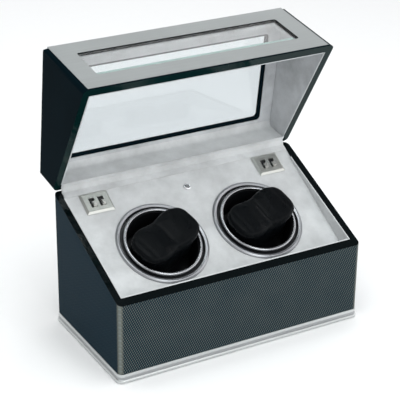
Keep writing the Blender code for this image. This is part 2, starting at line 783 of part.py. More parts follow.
def make_electronics():
    """The control board on the bottom panel and the power socket in the back wall."""
    floor = FELT_THICKNESS + GAP + BOTTOM_PANEL
    top = floor + BOARD_STANDOFF
    plate = rounded_rectangle(*BOARD_SIZE, 0.001, BOARD_AT, steps=1)
    board = add_part("control_board", prism(plate, top, top + BOARD_THICKNESS), "board_green")
    for k, (x, y, wide, deep, high) in enumerate(BOARD_BLOCKS):
        outline = rounded_rectangle(wide, deep, 0.001, (x, y), steps=1)
        block = add_cutter(f"board_block_{k}", prism(outline, top + 0.0006, top + high))
        boolean(board, block, "UNION")
    corners = [(sx, sy) for sy in (-1, 1) for sx in (-1, 1)]
    for k, (sx, sy) in enumerate(corners):
        at = (BOARD_AT[0] + sx * LEG_REACH[0], BOARD_AT[1] + sy * LEG_REACH[1], 0)
        post = rod(LEG_RADIUS, floor + GAP, top + BOARD_THICKNESS / 2, 10)
        boolean(board, add_cutter(f"board_leg_{k}", post, None, at), "UNION")

    outside = DEPTH / 2 + GAP
    socket = add_part(
        "power_socket",
        prism(
            circle(SOCKET_RADIUS, (INLET_X, INLET_Z), 24),
            INNER_BACK - 0.004,
            outside + 0.0012,
            "Y",
        ),
        "black_plastic",
    )
    flange = add_cutter(
        "socket_flange",
        prism(circle(SOCKET_FLANGE, (INLET_X, INLET_Z), 24), outside, outside + 0.0014, "Y"),
    )
    boolean(socket, flange, "UNION")
    mouth = add_cutter(
        "socket_mouth",
        prism(
            circle(SOCKET_MOUTH, (INLET_X, INLET_Z), 20),
            outside - 0.009,
            outside + 0.004,
            "Y",
            holes=[circle(SOCKET_PIN, (INLET_X, INLET_Z), 12)],
        ),
    )
    boolean(socket, mouth, "DIFFERENCE")


# ---- lid, closed and seen from its hinge axis ----
def fascia_hole_outline():
    """The opening in the lid's front, a little larger than the one in the plate before it."""
    width, height = (size + 2 * GLASS_MARGIN for size in FASCIA_OPENING)
    return rounded_rectangle(width, height, 0.004, (0, FASCIA_OPENING_Z), steps=3)


def window_outline():
    """The opening in the lid's top."""
    depth = WINDOW_Y[1] - WINDOW_Y[0]
    return rounded_rectangle(2 * WINDOW_HALF_X, depth, 0.005, (0, sum(WINDOW_Y) / 2), steps=4)


def make_lid_shell(frames):
    front, top = -DEPTH, LID_BACK_HEIGHT
    foot = RIM_SHIFT
    round_front, round_back, steps = 0.006, 0.004, 5
    side_view = [(front, front * RIM_RISE + foot)]
    for k in range(steps + 1):
        angle = math.pi - math.pi / 2 * k / steps
        side_view.append(
            (
                front + round_front * (1 + math.cos(angle)),
                top - round_front * (1 - math.sin(angle)),
            )
        )
    for k in range(steps + 1):
        angle = math.pi / 2 - math.pi / 2 * k / steps
        side_view.append(
            (round_back * (math.cos(angle) - 1), top - round_back * (1 - math.sin(angle)))
        )
    side_view.append((0, foot))
    shell = add_part(
        "lid_shell", prism(side_view, -WIDTH / 2, WIDTH / 2, "X"), "black_lacquer", frames["lid"]
    )

    plan = rounded_rectangle(WIDTH, DEPTH, CORNER_RADIUS, (0, -DEPTH / 2))
    boolean(shell, add_cutter("lid_plan", prism(plan, -0.1, 0.06), frames["lid"]), "INTERSECT")
    end_view = rounded_rectangle(WIDTH, 0.160, 0.003, (0, top - 0.080), steps=3)
    ends = add_cutter("lid_ends", prism(end_view, -0.2, 0.02, "Y"), frames["lid"])
    boolean(shell, ends, "INTERSECT")

    behind_plate = front + FASCIA_RECESS
    crisp = [
        (behind_plate, behind_plate * RIM_RISE + foot),
        (behind_plate, top),
        (front + 0.020, top),
        (front + 0.020, (front + 0.020) * RIM_RISE + foot),
    ]
    half = FASCIA_HALF_X + GAP
    nose = add_cutter("lid_nose", prism(crisp, -half, half, "X"), frames["lid"])
    boolean(shell, nose, "UNION")
    low = front * RIM_RISE + foot + FASCIA_LIP
    recess = [(front - 0.01, low), (behind_plate, low), (behind_plate, 0.08), (front - 0.01, 0.08)]
    boolean(
        shell, add_cutter("fascia_recess", prism(recess, -half, half, "X"), frames["lid"]), "DIFFERENCE"
    )

    back_inside, front_inside = -BACK_WALL, front + FASCIA_RECESS + LID_FRONT_WALL
    hollow = [
        (front_inside, front_inside * RIM_RISE - 0.05),
        (back_inside, back_inside * RIM_RISE - 0.05),
        (back_inside, top - TOP_WALL),
        (front_inside, top - TOP_WALL),
    ]
    inside = add_cutter("lid_hollow", prism(hollow, -INNER_X, INNER_X, "X"), frames["lid"])
    boolean(shell, inside, "DIFFERENCE")

    window = add_cutter("window_hole", prism(window_outline(), 0.0, 0.06), frames["lid"])
    boolean(shell, window, "DIFFERENCE")
    opening = fascia_hole_outline()
    hole = add_cutter("fascia_hole", prism(opening, front - 0.01, front + 0.03, "Y"), frames["lid"])
    boolean(shell, hole, "DIFFERENCE")
    for side, sign in SIDES.items():
        recess = hinge_recess(f"lid_recess_{side}", sign, frames["lid_rim"], 1)
        boolean(shell, recess, "DIFFERENCE")


def make_glazing(frames):
    """Fascia plate, both panes and the beads that hold them."""
    lid, front = frames["lid"], -DEPTH
    low = front * RIM_RISE + RIM_SHIFT + FASCIA_LIP + GAP
    high = LID_BACK_HEIGHT - 0.0002
    outline = [
        (-FASCIA_HALF_X, low),
        (FASCIA_HALF_X, low),
        (FASCIA_HALF_X, high),
        (-FASCIA_HALF_X, high),
    ]
    opening = rounded_rectangle(*FASCIA_OPENING, 0.003, (0, FASCIA_OPENING_Z), steps=3)
    plate = prism(outline, front, front + FASCIA_THICKNESS, "Y", holes=[opening])
    add_part("fascia_plate", plate, "brushed_aluminium", lid)

    width, height = (size + 2 * (GLASS_MARGIN - GAP) for size in FASCIA_OPENING)
    pane = rounded_rectangle(width, height, 0.0037, (0, FASCIA_OPENING_Z), steps=3)
    start = front + FASCIA_RECESS
    add_part("fascia_glass", prism(pane, start, start + FASCIA_GLASS, "Y"), "clear_glass", lid)
    bead_hole = rounded_rectangle(
        width - 2 * BEAD_WIDTH, height - 2 * BEAD_WIDTH, 0.001, (0, FASCIA_OPENING_Z), steps=3
    )
    bead_start, bead_end = start + FASCIA_GLASS + GAP, start + 0.0078
    bead = prism(pane, bead_start, bead_end, "Y", holes=[bead_hole])
    add_part("fascia_glass_bead", bead, "black_lacquer", lid)

    centre = (0, sum(WINDOW_Y) / 2)
    width = 2 * WINDOW_HALF_X - 2 * GAP
    depth = WINDOW_Y[1] - WINDOW_Y[0] - 2 * GAP
    pane = rounded_rectangle(width, depth, 0.0047, centre, steps=4)
    base = LID_BACK_HEIGHT - TOP_WALL
    bead_hole = rounded_rectangle(
        width - 2 * BEAD_WIDTH, depth - 2 * BEAD_WIDTH, 0.002, centre, steps=4
    )
    bead = prism(pane, base, base + WINDOW_BEAD, holes=[bead_hole])
    add_part("window_bead", bead, "black_lacquer", lid)
    glass_low = base + WINDOW_BEAD + GAP
    add_part("window_glass", prism(pane, glass_low, glass_low + WINDOW_GLASS), "clear_glass", lid)


def make_lid_linings(frames):
    """Suede-covered boards inside the lid, with the curved one that runs down to the hinge."""
    lid = frames["lid"]
    ceiling = LID_BACK_HEIGHT - TOP_WALL - GAP
    front = -DEPTH + FASCIA_RECESS + LID_FRONT_WALL + GAP
    back = -BACK_WALL - GAP
    foot = RIM_SHIFT
    side_view = [
        (front, front * RIM_RISE + foot),
        (back, back * RIM_RISE + foot),
        (back, ceiling),
        (front, ceiling),
    ]
    for side, sign in SIDES.items():
        near, far = sign * (INNER_X - GAP), sign * (INNER_X - GAP - LINING)
        board = prism(side_view, min(near, far), max(near, far), "X")
        add_part(f"lid_lining_{side}", board, "grey_suede", lid)

    half = INNER_X - 2 * GAP - LINING
    curve_front = WINDOW_Y[1] + 0.0004
    board_back = curve_front + 0.004
    outline = [
        (-half, front + LINING + GAP),
        (half, front + LINING + GAP),
        (half, board_back),
        (-half, board_back),
    ]
    board = prism(outline, ceiling - LINING, ceiling, holes=[window_outline()])
    add_part("lid_lining_top", board, "grey_suede", lid)

    outline = [
        (-half, front * RIM_RISE + foot + 0.0008),
        (half, front * RIM_RISE + foot + 0.0008),
        (half, ceiling),
        (-half, ceiling),
    ]
    board = prism(outline, front, front + LINING, "Y", holes=[fascia_hole_outline()])
    add_part("lid_lining_front", board, "grey_suede", lid)

    bend, steps = LINING_BEND, 6
    start = board_back + GAP
    face = back - LINING
    under = ceiling - LINING
    profile = [(start, ceiling), (start, under)]
    for k in range(steps + 1):
        angle = math.pi / 2 * k / steps
        profile.append(
            (face - bend * (1 - math.sin(angle)), under - bend * (1 - math.cos(angle)))
        )
    profile += [(face, face * RIM_RISE + foot + 0.0006), (back, back * RIM_RISE + foot + 0.0006)]
    profile.append((back, ceiling))
    add_part("lid_lining_back", prism(profile, -half, half, "X"), "grey_suede", lid)


# ---- hinges ----
def hinge_recess(name, sign, frame, towards):
    """The mortise for a leaf and the scallop for the knuckles. towards is 1 on the lid, -1 on the base."""
    half = HINGE_LENGTH / 2 + GAP
    centre = sign * HINGE_X
    surface = LID_GAP / 2
    depth = surface + HINGE_LEAF + GAP
    steps = 24
    clear = KNUCKLE_RADIUS + 0.0005
    bm = prism(circle(clear, (0, 0), steps), centre - half, centre + half, "X")
    cutter = add_cutter(name, bm, frame)
    low, high = sorted((towards * depth, -towards * 0.002))
    leaf = [
        (-HINGE_LEAF_DEPTH - GAP, low),
        (0.0, low),
        (0.0, high),
        (-HINGE_LEAF_DEPTH - GAP, high),
    ]
    slab = add_cutter(f"{name}_leaf", prism(leaf, centre - half, centre + half, "X"), frame)
    boolean(cutter, slab, "UNION")
    return cutter


def make_hinges(frames):
    """Two butt hinges: a base leaf with two knuckles, a lid leaf with one, and a pin."""
    inner = PIN_RADIUS + GAP
    half, middle = HINGE_LENGTH / 2, HINGE_MIDDLE / 2
    for side, sign in SIDES.items():
        centre = sign * HINGE_X
        spans = {
            "base": [(-half, -middle - GAP), (middle + GAP, half)],
            "lid": [(-middle, middle)],
        }
        for owner, towards in (("base", -1), ("lid", 1)):
            frame = frames["rim"] if owner == "base" else frames["lid_rim"]
            low, high = sorted((towards * LID_GAP / 2, towards * (LID_GAP / 2 + HINGE_LEAF)))
            plate = [
                (-HINGE_LEAF_DEPTH, low),
                (-0.0012, low),
                (-0.0012, high),
                (-HINGE_LEAF_DEPTH, high),
            ]
            leaf = add_part(
                f"hinge_leaf_{owner}_{side}",
                prism(plate, centre - half, centre + half, "X"),
                "brass",
                frame,
            )
            notches = spans["lid" if owner == "base" else "base"]
            for k, (a, b) in enumerate(notches):
                notch = [(-0.0030, -0.004), (0.004, -0.004), (0.004, 0.004), (-0.0030, 0.004)]
                cut = add_cutter(
                    f"hinge_notch_{owner}_{side}_{k}",
                    prism(notch, centre + a - GAP, centre + b + GAP, "X"),
                    frame,
                )
                boolean(leaf, cut, "DIFFERENCE")
            for k, (a, b) in enumerate(spans[owner]):
                knuckle = add_cutter(
                    f"hinge_knuckle_{owner}_{side}_{k}",
                    prism(circle(KNUCKLE_RADIUS, (0, 0), 20), centre + a, centre + b, "X"),
                    frame,
                )
                boolean(leaf, knuckle, "UNION")
            bore = add_cutter(
                f"hinge_bore_{owner}_{side}",
                prism(circle(inner, (0, 0), 16), centre - half - 0.01, centre + half + 0.01, "X"),
                frame,
            )
            boolean(leaf, bore, "DIFFERENCE")
        pin = prism(circle(PIN_RADIUS, (0, 0), 16), centre - half, centre + half, "X")
        add_part(f"hinge_pin_{side}", pin, "steel", frames["rim"], True)


def main():
    clear_scene()
    frames = make_frames()
    make_case(frames)
    make_plinth()
    make_bottom()
    make_deck(frames)
    make_deck_linings()
    make_hinge_gusset(frames)
    for side in SIDES:
        make_turntable(side, frames)
        make_drive(side, frames)
        make_switches(side, frames)
    make_chassis(frames)
    make_indicator(frames)
    make_electronics()
    make_lid_shell(frames)
    make_glazing(frames)
    make_lid_linings(frames)
    make_hinges(frames)


main()
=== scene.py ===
"""The looks of the two-watch winder box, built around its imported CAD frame.

Pieces are modelled in the frame they belong to: the deck frame (x, up the slope, out of the deck), the
lid frame (as if the lid were shut, seen from its hinge axis) or the row frame. All sizes are in metres.
"""

import json
import math

import bmesh
import bpy
import numpy as np
from mathutils import Matrix, Vector


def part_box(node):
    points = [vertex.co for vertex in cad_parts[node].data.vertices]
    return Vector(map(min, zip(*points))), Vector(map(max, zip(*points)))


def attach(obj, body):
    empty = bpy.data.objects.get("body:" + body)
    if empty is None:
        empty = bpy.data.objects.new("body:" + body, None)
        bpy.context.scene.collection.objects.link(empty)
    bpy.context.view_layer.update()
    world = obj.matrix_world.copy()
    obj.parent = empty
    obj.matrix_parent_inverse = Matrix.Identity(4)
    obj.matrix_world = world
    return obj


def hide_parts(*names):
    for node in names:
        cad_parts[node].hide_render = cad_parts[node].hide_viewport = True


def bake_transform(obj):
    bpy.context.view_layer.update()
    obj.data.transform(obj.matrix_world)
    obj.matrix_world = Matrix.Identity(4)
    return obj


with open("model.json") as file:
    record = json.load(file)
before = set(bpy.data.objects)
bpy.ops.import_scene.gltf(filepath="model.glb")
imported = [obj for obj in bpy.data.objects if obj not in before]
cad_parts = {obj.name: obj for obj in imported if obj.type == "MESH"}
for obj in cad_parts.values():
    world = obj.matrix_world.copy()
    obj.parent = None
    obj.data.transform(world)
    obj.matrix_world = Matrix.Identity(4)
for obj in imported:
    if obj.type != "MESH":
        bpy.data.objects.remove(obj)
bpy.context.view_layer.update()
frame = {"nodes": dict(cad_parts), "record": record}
RECORD = frame["record"]
JOINTS = {joint["name"]: joint for joint in RECORD["behaviour"]["joints"]}
SIDES = {"left": -1, "right": 1}


# ---- sizes read from the frame ----
def spans(node):
    low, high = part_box(node)
    return [(low[k], high[k]) for k in range(3)]


CASE_X, CASE_Y, CASE_Z = spans("case_body")
WIDTH = CASE_X[1] - CASE_X[0]
DEPTH = CASE_Y[1] - CASE_Y[0]
HINGE = Vector(JOINTS["lid_hinge"]["pos_m"])
OPEN = math.radians(JOINTS["lid_hinge"]["range_deg"][1])
UP_SLOPE = Vector(JOINTS["program_slider_left_move"]["axis"])
SLOPE = math.atan2(UP_SLOPE.z, UP_SLOPE.y)
CUP = Vector(JOINTS["turntable_right_spin"]["pos_m"])
DECK_MID = CUP.z - CUP.y * math.tan(SLOPE)
CUP_V = (CUP.y - 0) * math.cos(SLOPE) + (CUP.z - DECK_MID) * math.sin(SLOPE)
LID_TOP = 0.040
RIM_RISE = 0.070 / 0.166
RIM_TILT = math.atan(RIM_RISE)
RIM_GAP = 0.0015
RIM_SHIFT = RIM_GAP / 2 / math.cos(RIM_TILT)

CORNER = 0.006
SIDE_WALL = 0.008
FRONT_WALL = 0.010
BACK_WALL = 0.008
TOP_WALL = 0.010
LINING = 0.0015
GAP = 0.0003
INNER_X = WIDTH / 2 - SIDE_WALL
INNER_Y = (CASE_Y[0] + FRONT_WALL, CASE_Y[1] - BACK_WALL)

DECK = Matrix.Translation((0, 0, DECK_MID)) @ Matrix.Rotation(SLOPE, 4, "X")
LID = Matrix.Translation(HINGE) @ Matrix.Rotation(-OPEN, 4, "X")
RIM = Matrix.Translation(HINGE) @ Matrix.Rotation(RIM_TILT, 4, "X")
LID_RIM = Matrix.Translation(HINGE) @ Matrix.Rotation(RIM_TILT - OPEN, 4, "X")
ROW = Matrix.Identity(4)


# ---- node materials ----
class Nodes:
    """A Principled material and short ways to add the nodes that drive it."""

    def __init__(self, name, colour, roughness, metallic=0.0, **inputs):
        self.material = bpy.data.materials.new(name)
        self.material.use_nodes = True
        self.tree = self.material.node_tree
        self.shader = self.tree.nodes["Principled BSDF"]
        self.shader.inputs["Base Color"].default_value = (*colour, 1)
        self.shader.inputs["Roughness"].default_value = roughness
        self.shader.inputs["Metallic"].default_value = metallic
        for key, value in inputs.items():
            self.shader.inputs[key.replace("_", " ")].default_value = value

    def link(self, source, target):
        self.tree.links.new(source, target)

    def add(self, kind, settings=None, **links):
        node = self.tree.nodes.new(kind)
        for key, value in (settings or {}).items():
            setattr(node, key, value)
        for key, value in links.items():
            socket = node.inputs[int(key[1:])] if key[0] == "i" and key[1:].isdigit() else node.inputs[key]
            if hasattr(value, "links"):
                self.link(value, socket)
            else:
                socket.default_value = value
        return node

    def place(self, scale=(1, 1, 1), turn=(0, 0, 0)):
        """Object coordinates, stretched and turned."""
        coords = self.add("ShaderNodeTexCoord").outputs["Object"]
        mapping = self.add("ShaderNodeMapping", i0=coords)
        mapping.inputs["Scale"].default_value = scale
        mapping.inputs["Rotation"].default_value = turn
        return mapping.outputs[0]

    def noise(self, where, scale, detail=3.0, roughness=0.5):
        node = self.add("ShaderNodeTexNoise", Vector=where, Scale=scale, Detail=detail)
        node.inputs["Roughness"].default_value = roughness
        return node.outputs["Fac"]

    def math(self, operation, a, b=0.0):
        return self.add("ShaderNodeMath", {"operation": operation}, i0=a, i1=b).outputs[0]

    def range(self, value, low, high, to_low, to_high):
        node = self.add("ShaderNodeMapRange", Value=value)
        for key, number in zip(("From Min", "From Max", "To Min", "To Max"), (low, high, to_low, to_high)):
            node.inputs[key].default_value = number
        return node.outputs[0]

    def colours(self, factor, first, second):
        ramp = self.add("ShaderNodeValToRGB", Fac=factor)
        ramp.color_ramp.elements[0].color = (*first, 1)
        ramp.color_ramp.elements[1].color = (*second, 1)
        self.link(ramp.outputs["Color"], self.shader.inputs["Base Color"])
        return ramp

    def rough(self, value, low, high):
        self.link(self.range(value, 0.3, 0.7, low, high), self.shader.inputs["Roughness"])

    def bump(self, height, distance, strength=1.0, after=None):
        node = self.add("ShaderNodeBump", Height=height, Distance=distance, Strength=strength)
        if after:
            self.link(after, node.inputs["Normal"])
        self.link(node.outputs[0], self.shader.inputs["Normal"])
        return node.outputs[0]


def make_suede(name, shade, tint, contrast=0.32):
    """Soft pale nap: brushed cloudy marks, a fine fibre grain and a sheen."""
    light = tuple(shade * t for t in tint)
    dark = tuple((1 - contrast) * c for c in light)
    n = Nodes(name, light, 0.95, Sheen_Weight=0.35, Sheen_Roughness=0.45, Specular_IOR_Level=0.15)
    clouds = n.noise(n.place((1, 1, 1), (0.3, 0.5, 0.4)), 26, 5, 0.62)
    grain = n.noise(n.place(), 1500, 3, 0.6)
    ramp = n.colours(n.math("ADD", n.math("MULTIPLY", clouds, 0.8), n.math("MULTIPLY", grain, 0.2)), dark, light)
    ramp.color_ramp.elements[0].position = 0.28
    ramp.color_ramp.elements[1].position = 0.62
    soft = n.bump(clouds, 0.0006, 0.35)
    n.bump(grain, 0.0002, 0.5, soft)
    return n.material


def make_weave():
    """Black twill wrap: steep slanting ribs, each broken into short pale dashes. A painted highlight runs down each
    upright corner, and the side faces carry painted shade.
    """
    n = Nodes("twill_wrap", (0.03, 0.04, 0.05), 0.36, 0.0, Specular_IOR_Level=0.015)
    split = n.add("ShaderNodeSeparateXYZ", i0=n.add("ShaderNodeTexCoord").outputs["Object"])
    along = n.math("ADD", split.outputs[0], split.outputs[1])
    up = split.outputs[2]

    def waves(across, pitch):
        """0 to 1 and back, once for every pitch."""
        return n.range(n.math("SINE", n.math("MULTIPLY", across, 2 * math.pi / pitch)), -1, 1, 0, 1)

    ribs = waves(n.math("ADD", along, n.math("MULTIPLY", up, 0.45)), 0.0025)
    breaks = waves(n.math("SUBTRACT", up, n.math("MULTIPLY", along, 0.60)), 0.0033)
    woven = n.math("POWER", n.math("MULTIPLY", ribs, n.range(breaks, 0.10, 0.70, 0.35, 1.0)), 1.5)
    drift = n.range(n.noise(n.place(), 26, 3), 0.3, 0.7, -0.04, 0.04)
    normal = n.add("ShaderNodeSeparateXYZ", i0=n.add("ShaderNodeNewGeometry").outputs["Normal"])
    # Painted shade: faces pointing left or right get far less weave contrast, so they sit near the ramp's dark navy
    # end.
    painted_side_shade_mask = n.math("POWER", n.math("ABSOLUTE", normal.outputs[0]), 2.0)
    bend = n.math("MULTIPLY", n.math("ABSOLUTE", normal.outputs[0]), n.math("ABSOLUTE", normal.outputs[1]))
    contrast = n.math("MULTIPLY", n.range(painted_side_shade_mask, 0.0, 0.9, 0.6, 0.09), n.range(bend, 0.02, 0.35, 1.0, 0.25))
    level = n.math("MULTIPLY", n.math("ADD", woven, drift), contrast)
    # Painted highlight: where the normal points half sideways, on the rounded upright corners, the colour is pushed
    # towards the ramp's pale top and the weave's contrast is lowered.
    painted_corner_highlight = n.math("MULTIPLY", n.range(bend, 0.02, 0.48, 0.0, 0.70), n.range(woven, 0.0, 1.0, 0.9, 1.0))
    # The ramp's last, pale blue-grey colour is reached only by the painted corner highlight.
    ramp = n.colours(n.math("ADD", level, painted_corner_highlight), (0.0005, 0.0145, 0.026), (0.240, 0.295, 0.305))
    ramp.color_ramp.elements[0].position = 0.03
    ramp.color_ramp.elements.new(0.57).color = (0.140, 0.150, 0.133, 1)
    n.bump(woven, 0.0002, 0.4)
    return n.material


def make_lacquer(name, colour, roughness, gloss):
    """Deep gloss lacquer with a hint of orange peel and of dust in its roughness."""
    n = Nodes(name, colour, roughness, 0.0, Specular_IOR_Level=gloss)
    drift = n.noise(n.place(), 22, 4)
    darker = tuple(0.75 * c for c in colour)
    n.colours(drift, darker, tuple(1.2 * c for c in colour))
    n.rough(n.noise(n.place(), 130, 3), roughness * 0.8, roughness * 1.3)
    n.bump(n.noise(n.place(), 260, 2), 0.0002, 0.05)
    return n.material


def make_brushed(name, colour, roughness, stretch=(6, 900, 900), depth=0.35, metallic=1.0):
    """Metal with fine straight brushing along the short stretch."""
    n = Nodes(name, colour, roughness, metallic)
    lines = n.noise(n.place(stretch), 1.0, 4, 0.65)
    broad = n.noise(n.place(), 9, 3)
    mixed = n.math("ADD", n.math("MULTIPLY", lines, 0.7), n.math("MULTIPLY", broad, 0.3))
    ramp = n.colours(mixed, tuple(0.82 * c for c in colour), tuple(min(1, 1.10 * c) for c in colour))
    ramp.color_ramp.elements[0].position = 0.30
    ramp.color_ramp.elements[1].position = 0.70
    n.rough(lines, roughness * 0.8, roughness * 1.25)
    n.bump(lines, 0.00006, depth)
    return n.material


def make_turned_metal(name, colour, roughness, rings=0.0):
    """Metal turned on a lathe: faint rings round the z axis of its frame."""
    n = Nodes(name, colour, roughness, 1.0)
    split = n.add("ShaderNodeSeparateXYZ", i0=n.add("ShaderNodeTexCoord").outputs["Object"])
    x, y = split.outputs[0], split.outputs[1]
    radius = n.math("SQRT", n.math("ADD", n.math("MULTIPLY", x, x), n.math("MULTIPLY", y, y)))
    point = n.add("ShaderNodeCombineXYZ", i0=radius, i1=split.outputs[2])
    lines = n.noise(point.outputs[0], 2600, 3, 0.6)
    smudge = n.noise(n.place(), 45, 3)
    ramp = n.colours(smudge, tuple(0.88 * c for c in colour), tuple(min(1, 1.06 * c) for c in colour))
    ramp.color_ramp.elements[0].position = 0.3
    n.rough(n.math("ADD", n.math("MULTIPLY", lines, 0.6), n.math("MULTIPLY", smudge, 0.4)), roughness * 0.8, roughness * 1.3)
    if rings:
        n.bump(lines, 0.00005, rings)
    return n.material


def make_leather():
    """Black leatherette: pebbled grain, fine creases and a soft shine."""
    n = Nodes("black_leatherette", (0.002, 0.003, 0.0035), 0.28, 0.0, Specular_IOR_Level=0.065)
    cells = n.add("ShaderNodeTexVoronoi", {"feature": "DISTANCE_TO_EDGE"}, Vector=n.place(), Scale=1050.0)
    creases = n.noise(n.place((1, 1, 1), (0.2, 0.4, 0.9)), 90, 5, 0.6)
    grain = n.range(cells.outputs["Distance"], 0.0, 0.16, 0.0, 1.0)
    n.colours(n.math("ADD", n.math("MULTIPLY", grain, 0.5), n.math("MULTIPLY", creases, 0.5)),
              (0.001, 0.0015, 0.002), (0.003, 0.004, 0.005))
    n.rough(creases, 0.24, 0.40)
    n.bump(grain, 0.00008, 0.4, n.bump(creases, 0.0004, 0.25))
    return n.material


def make_plastic(name, colour, roughness):
    """Moulded plastic with a fine spark-eroded grain."""
    n = Nodes(name, colour, roughness, 0.0, Specular_IOR_Level=0.4)
    grain = n.noise(n.place(), 1400, 2)
    drift = n.noise(n.place(), 35, 3)
    n.colours(drift, tuple(0.8 * c for c in colour), tuple(1.2 * c for c in colour))
    n.rough(drift, roughness * 0.85, roughness * 1.2)
    n.bump(grain, 0.00008, 0.3)
    return n.material


def make_glass(name, colour, roughness=0.0):
    n = Nodes(name, colour, roughness, 0.0, IOR=1.45)
    n.shader.inputs["Transmission Weight"].default_value = 1.0
    haze = n.noise(n.place(), 30, 3)
    n.rough(haze, roughness, roughness + 0.003)
    return n.material


def make_felt():
    n = Nodes("black_felt", (0.02, 0.02, 0.022), 1.0, 0.0, Sheen_Weight=0.3, Specular_IOR_Level=0.1)
    fibres = n.noise(n.place(), 1100, 4, 0.7)
    n.colours(fibres, (0.010, 0.010, 0.012), (0.040, 0.040, 0.044))
    n.bump(fibres, 0.0004, 0.8)
    return n.material


def make_fibreboard():
    n = Nodes("fibreboard", (0.42, 0.30, 0.19), 0.85)
    specks = n.noise(n.place((1, 1, 4)), 500, 4, 0.7)
    n.colours(specks, (0.30, 0.20, 0.12), (0.50, 0.37, 0.24))
    n.bump(specks, 0.0003, 0.5)
    return n.material


def make_circuit():
    n = Nodes("circuit_board", (0.03, 0.18, 0.08), 0.4)
    tracks = n.add("ShaderNodeTexBrick", Vector=n.place(), Scale=260.0)
    tracks.inputs["Color1"].default_value = (0.02, 0.15, 0.06, 1)
    tracks.inputs["Color2"].default_value = (0.03, 0.20, 0.09, 1)
    tracks.inputs["Mortar"].default_value = (0.10, 0.30, 0.14, 1)
    n.link(tracks.outputs["Color"], n.shader.inputs["Base Color"])
    n.rough(n.noise(n.place(), 200), 0.3, 0.5)
    return n.material


SUEDE = make_suede("pale_suede", 0.69, (0.965, 0.99, 1.0))
# The same suede made darker for the lid's linings and bead: a painted shade. Its stronger mottling is the suede's
# own.
SHADED_LID_SUEDE = make_suede("pale_suede_lid_painted_shade", 0.62, (0.95, 0.98, 1.01), 0.42)
WEAVE = make_weave()
RIM_LACQUER = make_lacquer("rim_lacquer", (0.0015, 0.0035, 0.0040), 0.07, 0.16)
LID_LACQUER = make_lacquer("lid_lacquer", (0.0022, 0.0072, 0.0105), 0.16, 0.002)
# The lid rim's lacquer: a dark green base colour, lighter than the base rim's, with weak gloss. The extra lightness
# is a painted reflection.
LID_RIM_REFLECTION_LACQUER = make_lacquer("lid_rim_lacquer_painted_reflection", (0.002, 0.014, 0.014), 0.07, 0.09)
FASCIA = make_brushed("fascia_brushed", (0.375, 0.40, 0.40), 0.42)
PLINTH = make_brushed("plinth_polished", (0.62, 0.64, 0.64), 0.36, (9, 9, 1200), 0.03)
# A darker copy of the plinth metal, with much the same roughness: painted shade for the foot's upright band.
PLINTH_SHADED_BAND = make_brushed("plinth_band_painted_shade", (0.42, 0.43, 0.44), 0.34, (9, 9, 1200), 0.15)
GUNMETAL = make_turned_metal("satin_gunmetal", (0.42, 0.43, 0.45), 0.32, 0.2)
RING_METAL = make_turned_metal("satin_ring", (0.50, 0.51, 0.53), 0.24, 0.1)
CHROME = make_turned_metal("chrome", (0.88, 0.89, 0.91), 0.07)
NICKEL = make_brushed("brushed_nickel", (0.57, 0.58, 0.55), 0.40, (20, 1600, 1600), 0.3)
LEATHER = make_leather()
BLACK_PLASTIC = make_plastic("black_plastic", (0.008, 0.009, 0.011), 0.32)
GREY_PLASTIC = make_plastic("grey_plastic", (0.20, 0.21, 0.22), 0.5)
RUBBER = make_plastic("belt_rubber", (0.016, 0.016, 0.017), 0.8)
GLASS = make_glass("clear_glass", (0.97, 0.99, 0.985))
SMOKED_GLASS = make_glass("tinted_glass", (0.68, 0.72, 0.74))
GLASS_EDGE = make_glass("glass_edge", (0.55, 0.80, 0.76), 0.12)
SEAL = make_plastic("glass_seal", (0.26, 0.44, 0.41), 0.35)
LENS = make_plastic("lamp_lens", (0.22, 0.23, 0.24), 0.12)
FELT = make_felt()
FIBREBOARD = make_fibreboard()
CIRCUIT = make_circuit()
STEEL = make_brushed("machined_steel", (0.55, 0.55, 0.56), 0.30, (400, 400, 400), 0.2)
BRASS = make_brushed("brass", (0.72, 0.55, 0.26), 0.28, (30, 900, 900), 0.2)


# ---- mesh helpers ----
def rounded_rectangle(width, depth, radius, centre=(0.0, 0.0), steps=10):
    points = []
    for quarter, (sx, sy) in enumerate(((1, 1), (-1, 1), (-1, -1), (1, -1))):
        cx = centre[0] + sx * (width / 2 - radius)
        cy = centre[1] + sy * (depth / 2 - radius)
        for k in range(steps + 1):
            angle = (quarter + k / steps) * math.pi / 2
            points.append((cx + radius * math.cos(angle), cy + radius * math.sin(angle)))
    return points


def circle(radius, centre=(0.0, 0.0), steps=96):
    turn = 2 * math.pi / steps
    return [(centre[0] + radius * math.cos(k * turn), centre[1] + radius * math.sin(k * turn)) for k in range(steps)]


def place(u, w, height, axis):
    return {"X": (height, u, w), "Y": (u, height, w), "Z": (u, w, height)}[axis]


def prism(outline, low, high, axis="Z", holes=()):
    """An outline, with holes if any, extruded from low to high along an axis."""
    bm = bmesh.new()
    edges = []
    for loop in (outline, *holes):
        verts = [bm.verts.new(place(u, w, low, axis)) for u, w in loop]
        edges += [bm.edges.new((verts[k - 1], verts[k])) for k in range(len(verts))]
    if holes:
        flat = bmesh.ops.triangle_fill(bm, use_beauty=True, edges=edges)
        faces = [item for item in flat["geom"] if isinstance(item, bmesh.types.BMFace)]
    else:
        faces = [bm.faces.new(bm.verts)]
    raised = bmesh.ops.extrude_face_region(bm, geom=faces)
    moved = [item for item in raised["geom"] if isinstance(item, bmesh.types.BMVert)]
    bmesh.ops.translate(bm, verts=moved, vec=Vector(place(0, 0, high - low, axis)))
    return bm


